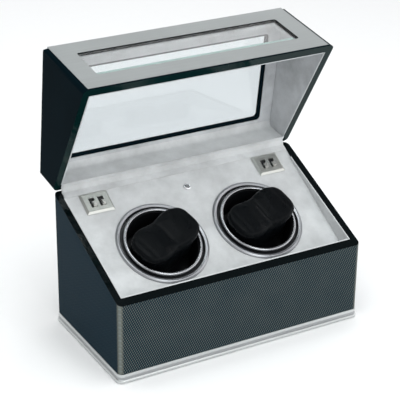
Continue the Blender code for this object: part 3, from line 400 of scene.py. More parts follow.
def turned(profile, steps=128, closed=True):
    """A profile of (radius, height) points turned round +Z. An open profile ends on the axis."""
    bm = bmesh.new()
    verts = [bm.verts.new((r, 0, h)) for r, h in profile]
    edges = [bm.edges.new(pair) for pair in zip(verts, verts[1:])]
    if closed:
        edges.append(bm.edges.new((verts[-1], verts[0])))
    bmesh.ops.spin(
        bm, geom=verts + edges, cent=(0, 0, 0), axis=(0, 0, 1), angle=2 * math.pi, steps=steps, use_merge=True
    )
    bmesh.ops.remove_doubles(bm, verts=bm.verts, dist=1e-7)
    return bm


def arc(centre, radius, start, end, steps=6):
    """Points of a round stretch of a profile, with the angles in degrees."""
    angles = [math.radians(start + (end - start) * k / steps) for k in range(steps + 1)]
    return [(centre[0] + radius * math.cos(a), centre[1] + radius * math.sin(a)) for a in angles]


def swept(rows_of_points):
    """Closed bands between rows of points, each row a closed loop."""
    bm = bmesh.new()
    rows = [[bm.verts.new(p) for p in row] for row in rows_of_points]
    for row, following in zip(rows, rows[1:] + rows[:1]):
        for k in range(len(row)):
            bm.faces.new((row[k - 1], row[k], following[k], following[k - 1]))
    return bm


def as_object(name, bm, matrix):
    bmesh.ops.remove_doubles(bm, verts=bm.verts, dist=1e-7)
    bmesh.ops.recalc_face_normals(bm, faces=bm.faces)
    mesh = bpy.data.meshes.new(name)
    bm.to_mesh(mesh)
    bm.free()
    made = bpy.data.objects.new(name, mesh)
    made.matrix_world = matrix
    bpy.context.scene.collection.objects.link(made)
    return made


def piece(name, bm, materials, body, matrix=ROW, replaces=(), bevel=0.0, segments=3, limit=40):
    """A named piece that rides on a body, with softened edges where bevel is given."""
    made = as_object(name, bm, matrix)
    for material in materials if isinstance(materials, (list, tuple)) else [materials]:
        made.data.materials.append(material)
    finish_surface(made, bevel, segments, limit)
    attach(made, body)
    if replaces:
        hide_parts(*([replaces] if isinstance(replaces, str) else replaces))
    return made


def finish_surface(made, bevel, segments=3, limit=40, flat=False):
    if not flat:
        made.data.shade_smooth()
    if bevel:
        edge = made.modifiers.new("softened edges", "BEVEL")
        edge.width = bevel
        edge.segments = segments
        edge.limit_method = "ANGLE"
        edge.angle_limit = math.radians(limit)
        edge.use_clamp_overlap = True
        if not flat:
            made.modifiers.new("flat faces", "WEIGHTED_NORMAL").keep_sharp = True
    else:
        made.data.set_sharp_from_angle(angle=math.radians(35))


def carve(made, tools, operation="DIFFERENCE"):
    """Cuts or joins (bmesh, matrix) tools and keeps only the result."""
    for bm, matrix in tools:
        tool = as_object("tool", bm, matrix)
        step = made.modifiers.new("carve", "BOOLEAN")
        step.operation = operation
        step.solver = "EXACT"
        step.object = tool
        bpy.context.view_layer.update()
        graph = bpy.context.evaluated_depsgraph_get()
        result = bpy.data.meshes.new_from_object(made.evaluated_get(graph))
        made.modifiers.remove(step)
        old = made.data
        made.data = result
        bpy.data.meshes.remove(old)
        bpy.data.objects.remove(tool, do_unlink=True)


def rim_height(y):
    return HINGE.z + RIM_RISE * (y - HINGE.y)


def deck_height(y):
    return DECK_MID + math.tan(SLOPE) * y


# ---- base ----
def hinge_mortise(sign, towards):
    """Room for a hinge leaf and the knuckles. towards is 1 on the lid and -1 on the base."""
    (left, right) = spans("hinge_leaf_base_right" if sign > 0 else "hinge_leaf_base_left")[0]
    leaf_depth, leaf = 0.0069, 0.00195
    low, high = sorted((towards * leaf, -towards * 0.002))
    slab = [(-leaf_depth, low), (0.001, low), (0.001, high), (-leaf_depth, high)]
    return [
        prism(slab, left - GAP, right + GAP, "X"),
        prism(circle(0.0029, (0, 0), 32), left - GAP, right + GAP, "X"),
    ]


def make_case():
    outer = rounded_rectangle(WIDTH, DEPTH, CORNER, steps=14)
    middle = ((INNER_Y[0] + INNER_Y[1]) / 2, INNER_Y[1] - INNER_Y[0])
    inner = rounded_rectangle(2 * INNER_X, middle[1], 0.001, (0, middle[0]), steps=14)
    low = CASE_Z[0]
    rows = [
        [(x, y, low) for x, y in outer],
        [(x, y, rim_height(y) - RIM_SHIFT) for x, y in outer],
        [(x, y, rim_height(y) - RIM_SHIFT) for x, y in inner],
        [(x, y, low) for x, y in inner],
    ]
    made = as_object("case", swept(rows), ROW)
    made.data.materials.append(WEAVE)
    made.data.materials.append(RIM_LACQUER)
    tools = [(bm, RIM) for sign in (-1, 1) for bm in hinge_mortise(sign, -1)]
    (x0, x1), _, (z0, z1) = spans("power_socket")
    hole = circle((x1 - x0) / 2 - 0.0017, ((x0 + x1) / 2, (z0 + z1) / 2), 48)
    tools.append((prism(hole, INNER_Y[1] - 0.01, CASE_Y[1] + 0.01, "Y"), ROW))
    carve(made, tools)
    for face in made.data.polygons:
        inside = abs(face.center.x) < WIDTH / 2 - 0.004 and CASE_Y[0] + 0.004 < face.center.y < CASE_Y[1] - 0.004
        face.material_index = 1 if face.normal.z > 0.5 or inside else 0
    finish_surface(made, 0.0011, 4, 50)
    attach(made, "base")
    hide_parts("case_body")


def make_plinth():
    """Stepped metal foot: a sloping shoulder, an upright band in painted shade and a rounded lip."""
    low, high = spans("plinth_trim")[2]
    lip = (spans("plinth_trim")[0][1] - WIDTH / 2)
    shoulder, lip_top = 0.0009, 0.0046
    profile = [(0.0002, high), (0.0004, high - 0.0001)]
    profile += [(shoulder, high - 0.0031), (shoulder, high - 0.0033)]
    profile += [(shoulder - 0.0004, high - 0.0035), (shoulder - 0.0004, lip_top + 0.0001)]
    profile += arc((lip - 0.0016, lip_top - 0.0016), 0.0016, 90, 0, 8)
    profile += arc((lip - 0.0006, low + 0.0006), 0.0006, 0, -90, 5)
    rows = []
    for out, z in profile:
        ring = rounded_rectangle(WIDTH + 2 * out, DEPTH + 2 * out, CORNER + out, steps=16)
        rows.append([(x, y, z) for x, y in ring])
    inside = rounded_rectangle(WIDTH - 0.016, DEPTH - 0.016, 0.001, steps=16)
    rows.append([(x, y, low) for x, y in inside])
    rows.append([(x, y, high) for x, y in inside])
    made = piece("plinth", swept(rows), [PLINTH, PLINTH_SHADED_BAND], "base", replaces="plinth_trim")
    for face in made.data.polygons:
        # The upright band takes the darker copy, a painted shade.
        face.material_index = 1 if lip_top < face.center.z < high - 0.0033 else 0


def make_underside():
    """Countersunk-looking pan screws in the felt's four holes."""
    low, high = spans("base_felt")[2]
    (x0, x1), (y0, y1), _ = spans("base_felt")
    dx, dy = (x1 - x0) / 2 - 0.0167, (y1 - y0) / 2 - 0.0127
    for side, sx in SIDES.items():
        for end, sy in (("front", -1), ("back", 1)):
            head = [(0, 0.0004), (0.0030, 0.0004)] + arc((0.0032, 0.0010), 0.0006, -90, 0, 4)
            head += [(0.0038, high + 0.0001), (0, high + 0.0001)]
            at = Matrix.Translation((sx * dx, sy * dy, 0))
            made = as_object(f"bottom_screw_{end}_{side}", turned(head, 40, False), at)
            slots = []
            for turn in (0, math.pi / 2):
                blade = rounded_rectangle(0.0042, 0.0007, 0.0002, steps=2)
                slots.append((prism(blade, 0.0, 0.0009), at @ Matrix.Rotation(turn + 0.5 * sx, 4, "Z")))
            carve(made, slots)
            made.data.materials.append(STEEL)
            finish_surface(made, 0.0)
            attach(made, "base")


def make_deck():
    """Suede-covered deck board with its openings cut through."""
    front = (INNER_Y[0] + GAP) / math.cos(SLOPE)
    back = 0.0836
    outline = [(-INNER_X + GAP, front), (INNER_X - GAP, front), (INNER_X - GAP, back), (-INNER_X + GAP, back)]
    holes = [circle(0.0034, (0, LAMP_V), 32)]
    for sign in SIDES.values():
        holes.append(circle(0.0540, (sign * CUP.x, CUP_V), 128))
        holes.append(rounded_rectangle(0.0306, 0.0226, 0.0005, (sign * SWITCH_X, SWITCH_V), steps=2))
    board = prism(outline, -0.004, 0.0, holes=holes)
    piece("deck_board", board, SUEDE, "base", DECK, "deck_panel")


def make_deck_linings():
    """Suede-covered boards on the recess walls, with rounded edges."""
    end, stand = 0.060, GAP / math.cos(SLOPE)
    front = INNER_Y[0] + GAP
    side_view = [
        (front, deck_height(front) + stand),
        (end, deck_height(end) + stand),
        (end, rim_height(end) - RIM_SHIFT),
        (front, rim_height(front) - RIM_SHIFT),
    ]
    for side, sign in SIDES.items():
        near, far = sign * (INNER_X - GAP), sign * (INNER_X - GAP - LINING)
        board = prism(side_view, min(near, far), max(near, far), "X")
        name = f"deck_lining_{side}"
        piece(name, board, SUEDE, "base", replaces=f"base_lining_{side}", bevel=0.0004)
    back = front + LINING
    end_view = [
        (front, deck_height(front) + stand),
        (back, deck_height(back) + stand),
        (back, rim_height(back) - RIM_SHIFT),
        (front, rim_height(front) - RIM_SHIFT),
    ]
    half = INNER_X - 2 * GAP - LINING
    board = prism(end_view, -half, half, "X")
    piece("deck_lining_front", board, SUEDE, "base", replaces="base_lining_front", bevel=0.0004)


def make_gusset():
    """One strip of suede from the deck's back edge, over both rims, to the lid's back lining."""
    half, thick = INNER_X - 0.0008, 0.0005
    near, far_lid = 0.0047, 0.0112
    lift = 0.0002 + thick
    base_side, lid_side = math.pi + RIM_TILT, math.pi + RIM_TILT - OPEN

    def at(radius, angle, off):
        """A point off a rim line, in the plane across the hinge. off is towards the other rim."""
        return Vector((0, math.cos(angle) * radius, math.sin(angle) * radius)) + off

    base_normal = Vector((0, -math.sin(RIM_TILT), math.cos(RIM_TILT)))
    lid_normal = Vector((0, math.sin(lid_side), -math.cos(lid_side)))
    line = []
    steps = 6
    foot, over = 0.0712, 0.0745
    for k in range(steps):
        y = foot + (over - foot) * k / steps
        share = (k / steps) ** 2 * (3 - 2 * k / steps)
        low, high = deck_height(y) + thick, rim_height(y) - RIM_SHIFT + lift
        line.append(Vector((0, y - HINGE.y, low + (high - low) * share - HINGE.z)))
    far_base = (HINGE.y - over) / math.cos(RIM_TILT)
    for k in range(steps + 1):
        radius = far_base + (near - far_base) * k / steps
        line.append(at(radius, base_side, base_normal * (lift - RIM_GAP / 2)))
    turn = 10
    for k in range(1, turn):
        share = k / turn
        angle = base_side - OPEN * share
        blend = (base_normal * (1 - share) + lid_normal * share).normalized()
        radius = near - 0.0006 * math.sin(math.pi * share)
        line.append(at(radius, angle, blend * (lift - RIM_GAP / 2) * abs(1 - 2 * share)))
    for k in range(steps + 1):
        radius = near + (far_lid - near) * k / steps
        line.append(at(radius, lid_side, lid_normal * (lift - RIM_GAP / 2)))
    bm = bmesh.new()
    across = 60
    rows = []
    for point in line:
        row = []
        for k in range(across + 1):
            x = -half + 2 * half * k / across
            row.append(bm.verts.new((x, HINGE.y + point.y, HINGE.z + point.z)))
        rows.append(row)
    for row, following in zip(rows, rows[1:]):
        for k in range(across):
            bm.faces.new((row[k], row[k + 1], following[k + 1], following[k]))
    made = as_object("suede_gusset", bm, ROW)
    made.data.materials.append(SUEDE)
    made.data.shade_smooth()
    thicken = made.modifiers.new("cloth thickness", "SOLIDIFY")
    thicken.thickness = thick
    thicken.offset = 0
    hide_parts("hinge_gusset")
    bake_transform(made)


# ---- turntables ----
def make_turntable(side, sign):
    axis = DECK @ Matrix.Translation((sign * CUP.x, CUP_V, 0))
    table = f"turntable_{side}"
    bezel = [(0.0506, -0.006), (0.0534, -0.006), (0.0534, GAP), (0.0555, GAP)]
    bezel += arc((0.0550, 0.0009), 0.0007, -30, 60, 5)
    bezel += [(0.0544, 0.0023)] + arc((0.0531, 0.0016), 0.0013, 60, 105, 5)
    bezel += [(0.0516, 0.0021)] + arc((0.0512, 0.0014), 0.0006, 100, 180, 4)
    piece(f"bezel_{side}", turned(bezel, 192), GUNMETAL, "base", axis, f"bezel_ring_{side}")

    floor, wall, lip = -0.036, 0.0442, 0.0017
    cup = [(0, floor), (0.0385, floor)] + arc((0.0385, floor + 0.004), 0.004, -90, 0, 8)
    cup += [(0.0425, lip - 0.0003), (0.0428, lip), (0.0461, lip), (0.0464, lip - 0.0003)]
    cup += [(0.0464, -0.0010), (0.0495, -0.0010)] + arc((0.0495, -0.0015), 0.0005, 90, 0, 4)
    cup += [(0.0500, -0.0028), (wall, -0.0028), (wall, floor + 0.002)]
    cup += arc((wall - 0.004, floor + 0.002), 0.004, 0, -90, 6)
    cup += [(0.0085, floor - 0.002), (0.0085, floor - 0.009), (0.0033, floor - 0.009)]
    cup += [(0.0033, floor - 0.0015), (0, floor - 0.0015)]
    body = as_object(f"cup_shell_{side}", turned(cup, 160, False), axis)
    cushion_axis = axis @ Matrix.Rotation(CUSHION_TURN[side], 4, "Z")
    rests = []
    for at in (-0.0365, 0.0365):
        block = rounded_rectangle(0.014, 0.024, 0.002, (at, 0), steps=5)
        rests.append((prism(block, floor - 0.001, -0.0257), cushion_axis))
    carve(body, rests, "UNION")
    body.data.materials.append(BLACK_PLASTIC)
    finish_surface(body, 0.0)
    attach(body, table)
    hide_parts(f"cup_{side}")

    low = lip + GAP
    ring = [(0.0430, low), (0.0471, low), (0.0471, low + 0.0008)]
    ring += arc((0.04505, low + 0.0008), 0.00205, 6, 174, 14)
    ring.append((0.0430, low + 0.0008))
    piece(f"chrome_ring_{side}", turned(ring, 192), RING_METAL, table, axis, f"cup_ring_{side}")


def cushion_size(n):
    """Half the length and half the width of a cushion at height n, with its rounded edges."""
    share = min(1.0, max(0.0, (n - 0.0055) / 0.0105))
    flare = 0.0050 * share * share * (3 - 2 * share)
    bend = 0.0070
    edge = bend - min(CUSHION_TOP - n, n - CUSHION_BOTTOM, bend)
    inset = bend - math.sqrt(bend**2 - edge**2) + CUSHION_SWELL
    return 0.0405 + flare - inset, 0.0270 - inset


def cushion_point(n, angle):
    """A point of the skin before stuffing: a waist for the strap and a dip on top for the watch."""
    power = 3.5
    half_length, half_width = cushion_size(n)
    c, d = math.cos(angle), math.sin(angle)
    s = half_length * math.copysign(abs(c) ** (2 / power), c)
    w = half_width * math.copysign(abs(d) ** (2 / power), d)
    w *= 1 - 0.10 * math.exp(-((s / 0.016) ** 2))
    if n > 0:
        n -= 0.0030 * n / CUSHION_TOP * math.exp(-((s / 0.017) ** 2))
    return s, w, n


def cushion_surface():
    """A watch pillow before it is stuffed, whose ends flare out over the cup's ring."""
    levels, around = 48, 72
    bm = bmesh.new()
    turn = 2 * math.pi / around
    middle = (CUSHION_TOP + CUSHION_BOTTOM) / 2
    half = (CUSHION_TOP - CUSHION_BOTTOM) / 2 - CUSHION_SWELL
    rows = []
    for k in range(levels + 1):
        n = middle - half * math.cos(math.pi * k / levels)
        rows.append([bm.verts.new(cushion_point(n, j * turn)) for j in range(around)])
    for row, following in zip(rows, rows[1:]):
        for j in range(around):
            bm.faces.new((row[j - 1], row[j], following[j], following[j - 1]))
    for row in (rows[0], rows[-1]):
        bm.faces.new((row[0], row[1], row[-1]))
        for j in range(1, around // 2 - 1):
            bm.faces.new((row[j], row[j + 1], row[-j - 1], row[-j]))
        bm.faces.new((row[around // 2 - 1], row[around // 2], row[around // 2 + 1]))
    return bm


def stuff_cushion():
    """The pillow's mesh, blown up by a short cloth simulation, with end seams pressed in after it."""
    made = as_object("cushion_form", cushion_surface(), ROW)
    remesh = made.modifiers.new("even mesh", "REMESH")
    remesh.mode = "VOXEL"
    remesh.voxel_size = 0.0022
    bpy.context.view_layer.update()
    graph = bpy.context.evaluated_depsgraph_get()
    mesh = bpy.data.meshes.new_from_object(made.evaluated_get(graph))
    made.modifiers.clear()
    made.data = mesh
    count = len(mesh.vertices)
    before = np.empty(count * 3)
    mesh.vertices.foreach_get("co", before)
    before = before.reshape(-1, 3)
    after = before.copy()
    cloth = made.modifiers.new("stuffing", "CLOTH")
    cloth.settings.use_pressure = True
    cloth.settings.uniform_pressure_force = 4.0
    cloth.settings.effector_weights.gravity = 0.0
    cloth.settings.tension_stiffness = 25
    cloth.settings.shear_stiffness = 12
    cloth.settings.bending_stiffness = 0.6
    scene = bpy.context.scene
    for number in range(1, 21):
        scene.frame_set(number)
    graph = bpy.context.evaluated_depsgraph_get()
    swollen = made.evaluated_get(graph).to_mesh()
    swollen.vertices.foreach_get("co", after_flat := np.empty(count * 3))
    after = after_flat.reshape(-1, 3)
    made.evaluated_get(graph).to_mesh_clear()
    made.modifiers.clear()
    scene.frame_set(1)
    move = after - before
    length = np.linalg.norm(move, axis=1, keepdims=True)
    after = before + move * np.minimum(1, 1.2 * CUSHION_SWELL / np.maximum(length, 1e-9))
    seam_at, seam_width, seam_depth = 0.0330, 0.0011, 0.0008
    axis_distance = np.hypot(after[:, 1], after[:, 2])
    press = seam_depth * np.exp(-(((np.abs(after[:, 0]) - seam_at) / seam_width) ** 2))
    after[:, 1] -= after[:, 1] / np.maximum(axis_distance, 1e-6) * press
    after[:, 2] -= after[:, 2] / np.maximum(axis_distance, 1e-6) * press
    after[:, 2] = np.clip(after[:, 2], CUSHION_BOTTOM, CUSHION_TOP)
    mesh.vertices.foreach_set("co", after.reshape(-1))
    smooth = made.modifiers.new("finer", "SUBSURF")
    smooth.levels = smooth.render_levels = 1
    bpy.context.view_layer.update()
    graph = bpy.context.evaluated_depsgraph_get()
    result = bpy.data.meshes.new_from_object(made.evaluated_get(graph))
    bpy.data.objects.remove(made, do_unlink=True)
    return result


def make_cushions():
    mesh = stuff_cushion()
    for side, sign in SIDES.items():
        at = DECK @ Matrix.Translation((sign * CUP.x, CUP_V, 0)) @ Matrix.Rotation(CUSHION_TURN[side], 4, "Z")
        made = bpy.data.objects.new(f"pillow_{side}", mesh.copy())
        bpy.context.scene.collection.objects.link(made)
        made.matrix_world = at
        made.data.materials.append(LEATHER)
        made.data.shade_smooth()
        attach(made, f"cushion_{side}")
        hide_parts(f"cushion_{side}")


# ---- controls ----
def slotted_plate(rows, holes):
    """A plate through rows of (outline, height), with its holes cut right through."""
    bm = bmesh.new()
    loops = [[bm.verts.new((x, y, z)) for x, y in outline] for outline, z in rows]
    walls = list(zip(loops, loops[1:]))
    rims = {0: [loops[0]], -1: [loops[-1]]}
    for hole in holes:
        ends = [[bm.verts.new((x, y, rows[end][1])) for x, y in hole] for end in rims]
        for end, loop in zip(rims, ends):
            rims[end].append(loop)
        walls.append(ends)
    for row, following in walls:
        for k in range(len(row)):
            bm.faces.new((row[k - 1], row[k], following[k], following[k - 1]))
    for loops_here in rims.values():
        edges = [bm.edges.get((loop[k - 1], loop[k])) for loop in loops_here for k in range(len(loop))]
        bmesh.ops.triangle_fill(bm, use_beauty=True, edges=edges)
    return bm


def make_switches(side, sign):
    at = DECK @ Matrix.Translation((sign * SWITCH_X, SWITCH_V, 0))
    wide, deep, chamfer, rise = 0.0355, 0.0288, 0.0025, 0.0028
    rows = []
    for inset, z in ((0, GAP), (0, GAP + 0.0005), (chamfer, rise)):
        rows.append((rounded_rectangle(wide - 2 * inset, deep - 2 * inset, 0.0005, steps=3), z))
    slots = [rounded_rectangle(*SLOT, 0.0005, (k * SLOT_SPACING / 2, 0), steps=3) for k in (-1, 1)]
    plate = as_object(f"switch_cover_{side}", slotted_plate(rows, slots), at)
    plate.data.materials.append(NICKEL)
    finish_surface(plate, 0.00022, 3, 30, flat=True)
    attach(plate, "base")
    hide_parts(f"switch_plate_{side}")


def make_slider(side, name):
    """A slide knob with a stepped crown and grip ridges."""
    node = f"{name}_slider_{side}"
    low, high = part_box(node)
    centre = DECK.inverted() @ ((low + high) / 2)
    at = DECK @ Matrix.Translation((centre.x, centre.y, 0))
    wide, long = high.x - low.x, 0.0070
    base = prism(rounded_rectangle(wide, long, 0.0008, steps=4), GAP, 0.0040)
    made = as_object(f"{name}_knob_{side}", base, at)
    crown = rounded_rectangle(wide - 0.0008, long - 0.0014, 0.0007, steps=4)
    carve(made, [(prism(crown, 0.0035, 0.0060), at)], "UNION")
    grooves = []
    for k in range(2):
        y = (2 * k - 1) * 0.0010
        groove = rounded_rectangle(wide - 0.0018, 0.0008, 0.0002, (0, y), steps=2)
        grooves.append((prism(groove, 0.0053, 0.0066), at))
    carve(made, grooves)
    made.data.materials.append(SATIN_KNOB)
    finish_surface(made, 0.00018, 2, 30, flat=True)
    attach(made, node)
    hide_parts(node)


def make_lamp():
    at = DECK @ Matrix.Translation((0, LAMP_V, 0))
    bezel = [(0.0025, -0.009), (0.0031, -0.009), (0.0031, GAP), (0.0044, GAP)]
    bezel += arc((0.0040, 0.0008), 0.0006, 0, 60, 4) + arc((0.0032, 0.0013), 0.0010, 60, 110, 5)
    bezel += [(0.0025, 0.0019)]
    piece("lamp_rim", turned(bezel, 64), CHROME, "base", at, "lamp_bezel")
    lens = [(0, -0.006), (0.0022, -0.006), (0.0022, 0.0021)] + arc((0, 0.0021), 0.0022, 12, 78, 6)
    lens = [(r, min(h, 0.0035)) for r, h in lens] + [(0, 0.0035)]
    piece("lamp_dome", turned(lens, 48, False), LENS, "base", at, "lamp_lens")


def make_socket():
    """The power socket's shell, its dished face and its pin."""
    (x0, x1), (y0, y1), (z0, z1) = spans("power_socket")
    at = Matrix.Translation(((x0 + x1) / 2, CASE_Y[1], (z0 + z1) / 2)) @ Matrix.Rotation(-math.pi / 2, 4, "X")
    out = y1 - CASE_Y[1]
    shell = [(0.0030, -0.0085), (0.0048, -0.0085), (0.0048, GAP), (0.0066, GAP)]
    shell += arc((0.0062, out - 0.0006), 0.0006, 0, 90, 4)
    shell += [(0.0042, out), (0.0036, out - 0.0006), (0.0030, out - 0.0007)]
    piece("socket_shell", turned(shell, 64), BLACK_PLASTIC, "base", at, "power_socket")
    pin = [(0, -0.0085), (0.0010, -0.0085), (0.0010, out - 0.0012)] + arc((0, out - 0.0016), 0.0010, 20, 80, 4)
    pin += [(0, out - 0.0006)]
    piece("socket_pin", turned(pin, 32, False), STEEL, "base", at)
    back = [(0, -0.0110), (0.0048, -0.0110), (0.0048, -0.0088), (0, -0.0088)]
    piece("socket_back", turned(back, 48, False), BLACK_PLASTIC, "base", at)


# ---- lid ----
def lid_opening(node, axis_pair, grow):
    """(width, height, centre) in the lid frame of a pane, grown on each side."""
    points = [LID.inverted() @ v.co for v in frame["nodes"][node].data.vertices]
    spans_ = [(min(p[k] for p in points), max(p[k] for p in points)) for k in axis_pair]
    sizes = [b - a + 2 * grow for a, b in spans_]
    return (*sizes, tuple((a + b) / 2 for a, b in spans_))


def make_lid_shell():
    front, top, foot = -DEPTH, LID_TOP, RIM_SHIFT
    round_front, round_back, steps = 0.006, 0.004, 12
    side_view = [(front, front * RIM_RISE + foot)]
    side_view += arc((front + round_front, top - round_front), round_front, 180, 90, steps)
    side_view += arc((-round_back, top - round_back), round_back, 90, 0, steps)
    side_view.append((0, foot))
    made = as_object("lid_shell_gloss", prism(side_view, -WIDTH / 2, WIDTH / 2, "X"), LID)
    plan = rounded_rectangle(WIDTH, DEPTH, CORNER, (0, -DEPTH / 2), steps=12)
    end_view = rounded_rectangle(WIDTH, 0.160, 0.003, (0, top - 0.080), steps=8)
    carve(made, [(prism(plan, -0.1, 0.06), LID), (prism(end_view, -0.2, 0.02, "Y"), LID)], "INTERSECT")

    behind = front + FASCIA_RECESS
    half = FASCIA_HALF + GAP
    crisp = [
        (behind, behind * RIM_RISE + foot),
        (behind, top),
        (front + 0.020, top),
        (front + 0.020, (front + 0.020) * RIM_RISE + foot),
    ]
    carve(made, [(prism(crisp, -half, half, "X"), LID)], "UNION")
    low = front * RIM_RISE + foot + FASCIA_LIP
    recess = [(front - 0.01, low), (behind, low), (behind, 0.08), (front - 0.01, 0.08)]
    hollow_front = behind + 0.008
    hollow = [
        (hollow_front, hollow_front * RIM_RISE - 0.05),
        (-BACK_WALL, -BACK_WALL * RIM_RISE - 0.05),
        (-BACK_WALL, top - TOP_WALL),
        (hollow_front, top - TOP_WALL),
    ]
    tools = [(prism(recess, -half, half, "X"), LID), (prism(hollow, -INNER_X, INNER_X, "X"), LID)]
    wide, deep, centre = lid_opening("window_glass", (0, 1), GAP)
    tools.append((prism(rounded_rectangle(wide, deep, 0.005, centre, 8), 0.0, 0.06), LID))
    wide, high, centre = lid_opening("fascia_glass", (0, 2), GAP)
    hole = prism(rounded_rectangle(wide, high, 0.004, centre, 8), front - 0.01, front + 0.03, "Y")
    tools.append((hole, LID))
    tools += [(bm, LID_RIM) for sign in (-1, 1) for bm in hinge_mortise(sign, 1)]
    carve(made, tools)
    made.data.materials.append(LID_LACQUER)
    made.data.materials.append(LID_RIM_REFLECTION_LACQUER)
    for face in made.data.polygons:
        # The lid's rim faces take the lighter lacquer, a painted reflection.
        face.material_index = 1 if face.normal.z < -0.5 and face.center.z < 0.028 else 0
    finish_surface(made, 0.0006, 3, 50)
    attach(made, "lid")
    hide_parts("lid_shell")


def pane(name, node, outline, low, high, axis, glass):
    """A sheet of glass whose edges are green."""
    looks = [glass, GLASS_EDGE]
    made = piece(name, prism(outline, low, high, axis), looks, "lid", LID, node, 0.0004, 2)
    k = {"Y": 1, "Z": 2}[axis]
    for face in made.data.polygons:
        face.material_index = 0 if abs(face.normal[k]) > 0.9 else 1


def make_glazing():
    front = -DEPTH
    low = front * RIM_RISE + RIM_SHIFT + FASCIA_LIP + GAP
    high = LID_TOP - 0.0002
    wide, tall, centre = lid_opening("fascia_glass", (0, 2), -0.0007)
    outline = rounded_rectangle(2 * FASCIA_HALF, high - low, 0.0004, (0, (low + high) / 2), 3)
    opening = rounded_rectangle(wide, tall, 0.003, centre, 8)
    plate = prism(outline, front, front + 0.0016, "Y", holes=[opening])
    made = piece("fascia", plate, [FASCIA, RIM_LACQUER], "lid", LID, "fascia_plate", 0.0003, 2)
    # The walls of the window opening take the black rim lacquer: painted shade for the dark gap line round the pane.
    for face in made.data.polygons:
        at = face.center
        inside = abs(at.x) < wide / 2 + 0.0005 and abs(at.z - centre[1]) < tall / 2 + 0.0005
        face.material_index = 1 if inside and abs(face.normal.y) < 0.5 else 0

    wide, tall, centre = lid_opening("fascia_glass", (0, 2), 0)
    start = front + FASCIA_RECESS
    outline = rounded_rectangle(wide, tall, 0.0037, centre, 8)
    pane("fascia_pane", "fascia_glass", outline, start, start + 0.003, "Y", GLASS)
    # Behind it a black gasket, and inside the gasket a pale bead with a broad sill at the rim.
    gasket, bead, sill = 0.0030, 0.0036, 0.0070
    back, deep = start + 0.003 + GAP, start + 0.0078
    middle = rounded_rectangle(wide - 2 * gasket, tall - 2 * gasket, 0.0015, centre, 8)
    ring = prism(outline, back, deep, "Y", holes=[middle])
    piece("fascia_gasket", ring, LID_LACQUER, "lid", LID, bevel=0.0003, segments=2)
    gasket += 0.0001
    outer = rounded_rectangle(wide - 2 * gasket, tall - 2 * gasket, 0.0014, centre, 8)
    inner = rounded_rectangle(wide - 2 * bead, tall - 2 * bead - sill, 0.0005, (centre[0], centre[1] + sill / 2), 8)
    ring = prism(outer, back, deep, "Y", holes=[inner])
    looks = [SHADED_LID_SUEDE, SEAL]
    made = piece("fascia_bead", ring, looks, "lid", LID, "fascia_glass_bead", 0.0002, 2)
    for face in made.data.polygons:
        face.material_index = 1 if face.center.z < centre[1] - tall / 2 + bead + sill + 0.0001 else 0

    wide, deep, centre = lid_opening("window_glass", (0, 1), 0)
    base = LID_TOP - TOP_WALL
    outer = rounded_rectangle(wide, deep, 0.0047, centre, 8)
    inner = rounded_rectangle(wide - 0.006, deep - 0.006, 0.003, centre, 8)
    bead = prism(outer, base, base + 0.0025, holes=[inner])
    piece("window_frame", bead, LID_LACQUER, "lid", LID, "window_bead", 0.0005, 2)
    glass = base + 0.0025 + GAP
    pane("window_pane", "window_glass", outer, glass, glass + 0.003, "Z", SMOKED_GLASS)


def make_lid_linings():
    ceiling = LID_TOP - TOP_WALL - GAP
    front = -DEPTH + FASCIA_RECESS + 0.008 + GAP
    back = -BACK_WALL - GAP
    foot = RIM_SHIFT
    side_view = [(front, front * RIM_RISE + foot), (back, back * RIM_RISE + foot), (back, ceiling), (front, ceiling)]
    for side, sign in SIDES.items():
        near, far = sign * (INNER_X - GAP), sign * (INNER_X - GAP - LINING)
        board = prism(side_view, min(near, far), max(near, far), "X")
        name = f"lid_board_{side}"
        piece(name, board, SHADED_LID_SUEDE, "lid", LID, f"lid_lining_{side}", 0.0004)

    half = INNER_X - 2 * GAP - LINING
    wide, deep, centre = lid_opening("window_glass", (0, 1), GAP)
    window = rounded_rectangle(wide, deep, 0.005, centre, 8)
    board_back = centre[1] + deep / 2 + 0.0044
    outline = [(-half, front + LINING + GAP), (half, front + LINING + GAP), (half, board_back), (-half, board_back)]
    board = prism(outline, ceiling - LINING, ceiling, holes=[window])
    piece("lid_board_top", board, SHADED_LID_SUEDE, "lid", LID, "lid_lining_top", 0.0003, 2)

    wide, tall, centre = lid_opening("fascia_glass", (0, 2), GAP)
    opening = rounded_rectangle(wide, tall, 0.004, centre, 8)
    low = front * RIM_RISE + foot + 0.0008
    outline = [(-half, low), (half, low), (half, ceiling), (-half, ceiling)]
    board = prism(outline, front, front + LINING, "Y", holes=[opening])
    piece("lid_board_front", board, SHADED_LID_SUEDE, "lid", LID, "lid_lining_front", 0.0003, 2)

    bend = 0.0070
    start, face, under = board_back + GAP, back - LINING, ceiling - LINING
    view = [(start, ceiling), (start, under)]
    view += arc((face - bend, under - bend), bend, 90, 0, 14)
    view += [(face, face * RIM_RISE + foot + 0.0006), (back, back * RIM_RISE + foot + 0.0006), (back, ceiling)]
    # The back board keeps the lighter deck suede; the other lid boards carry the painted-shade copy.
    piece("lid_board_back", prism(view, -half, half, "X"), SUEDE, "lid", LID, "lid_lining_back", 0.0003, 2)


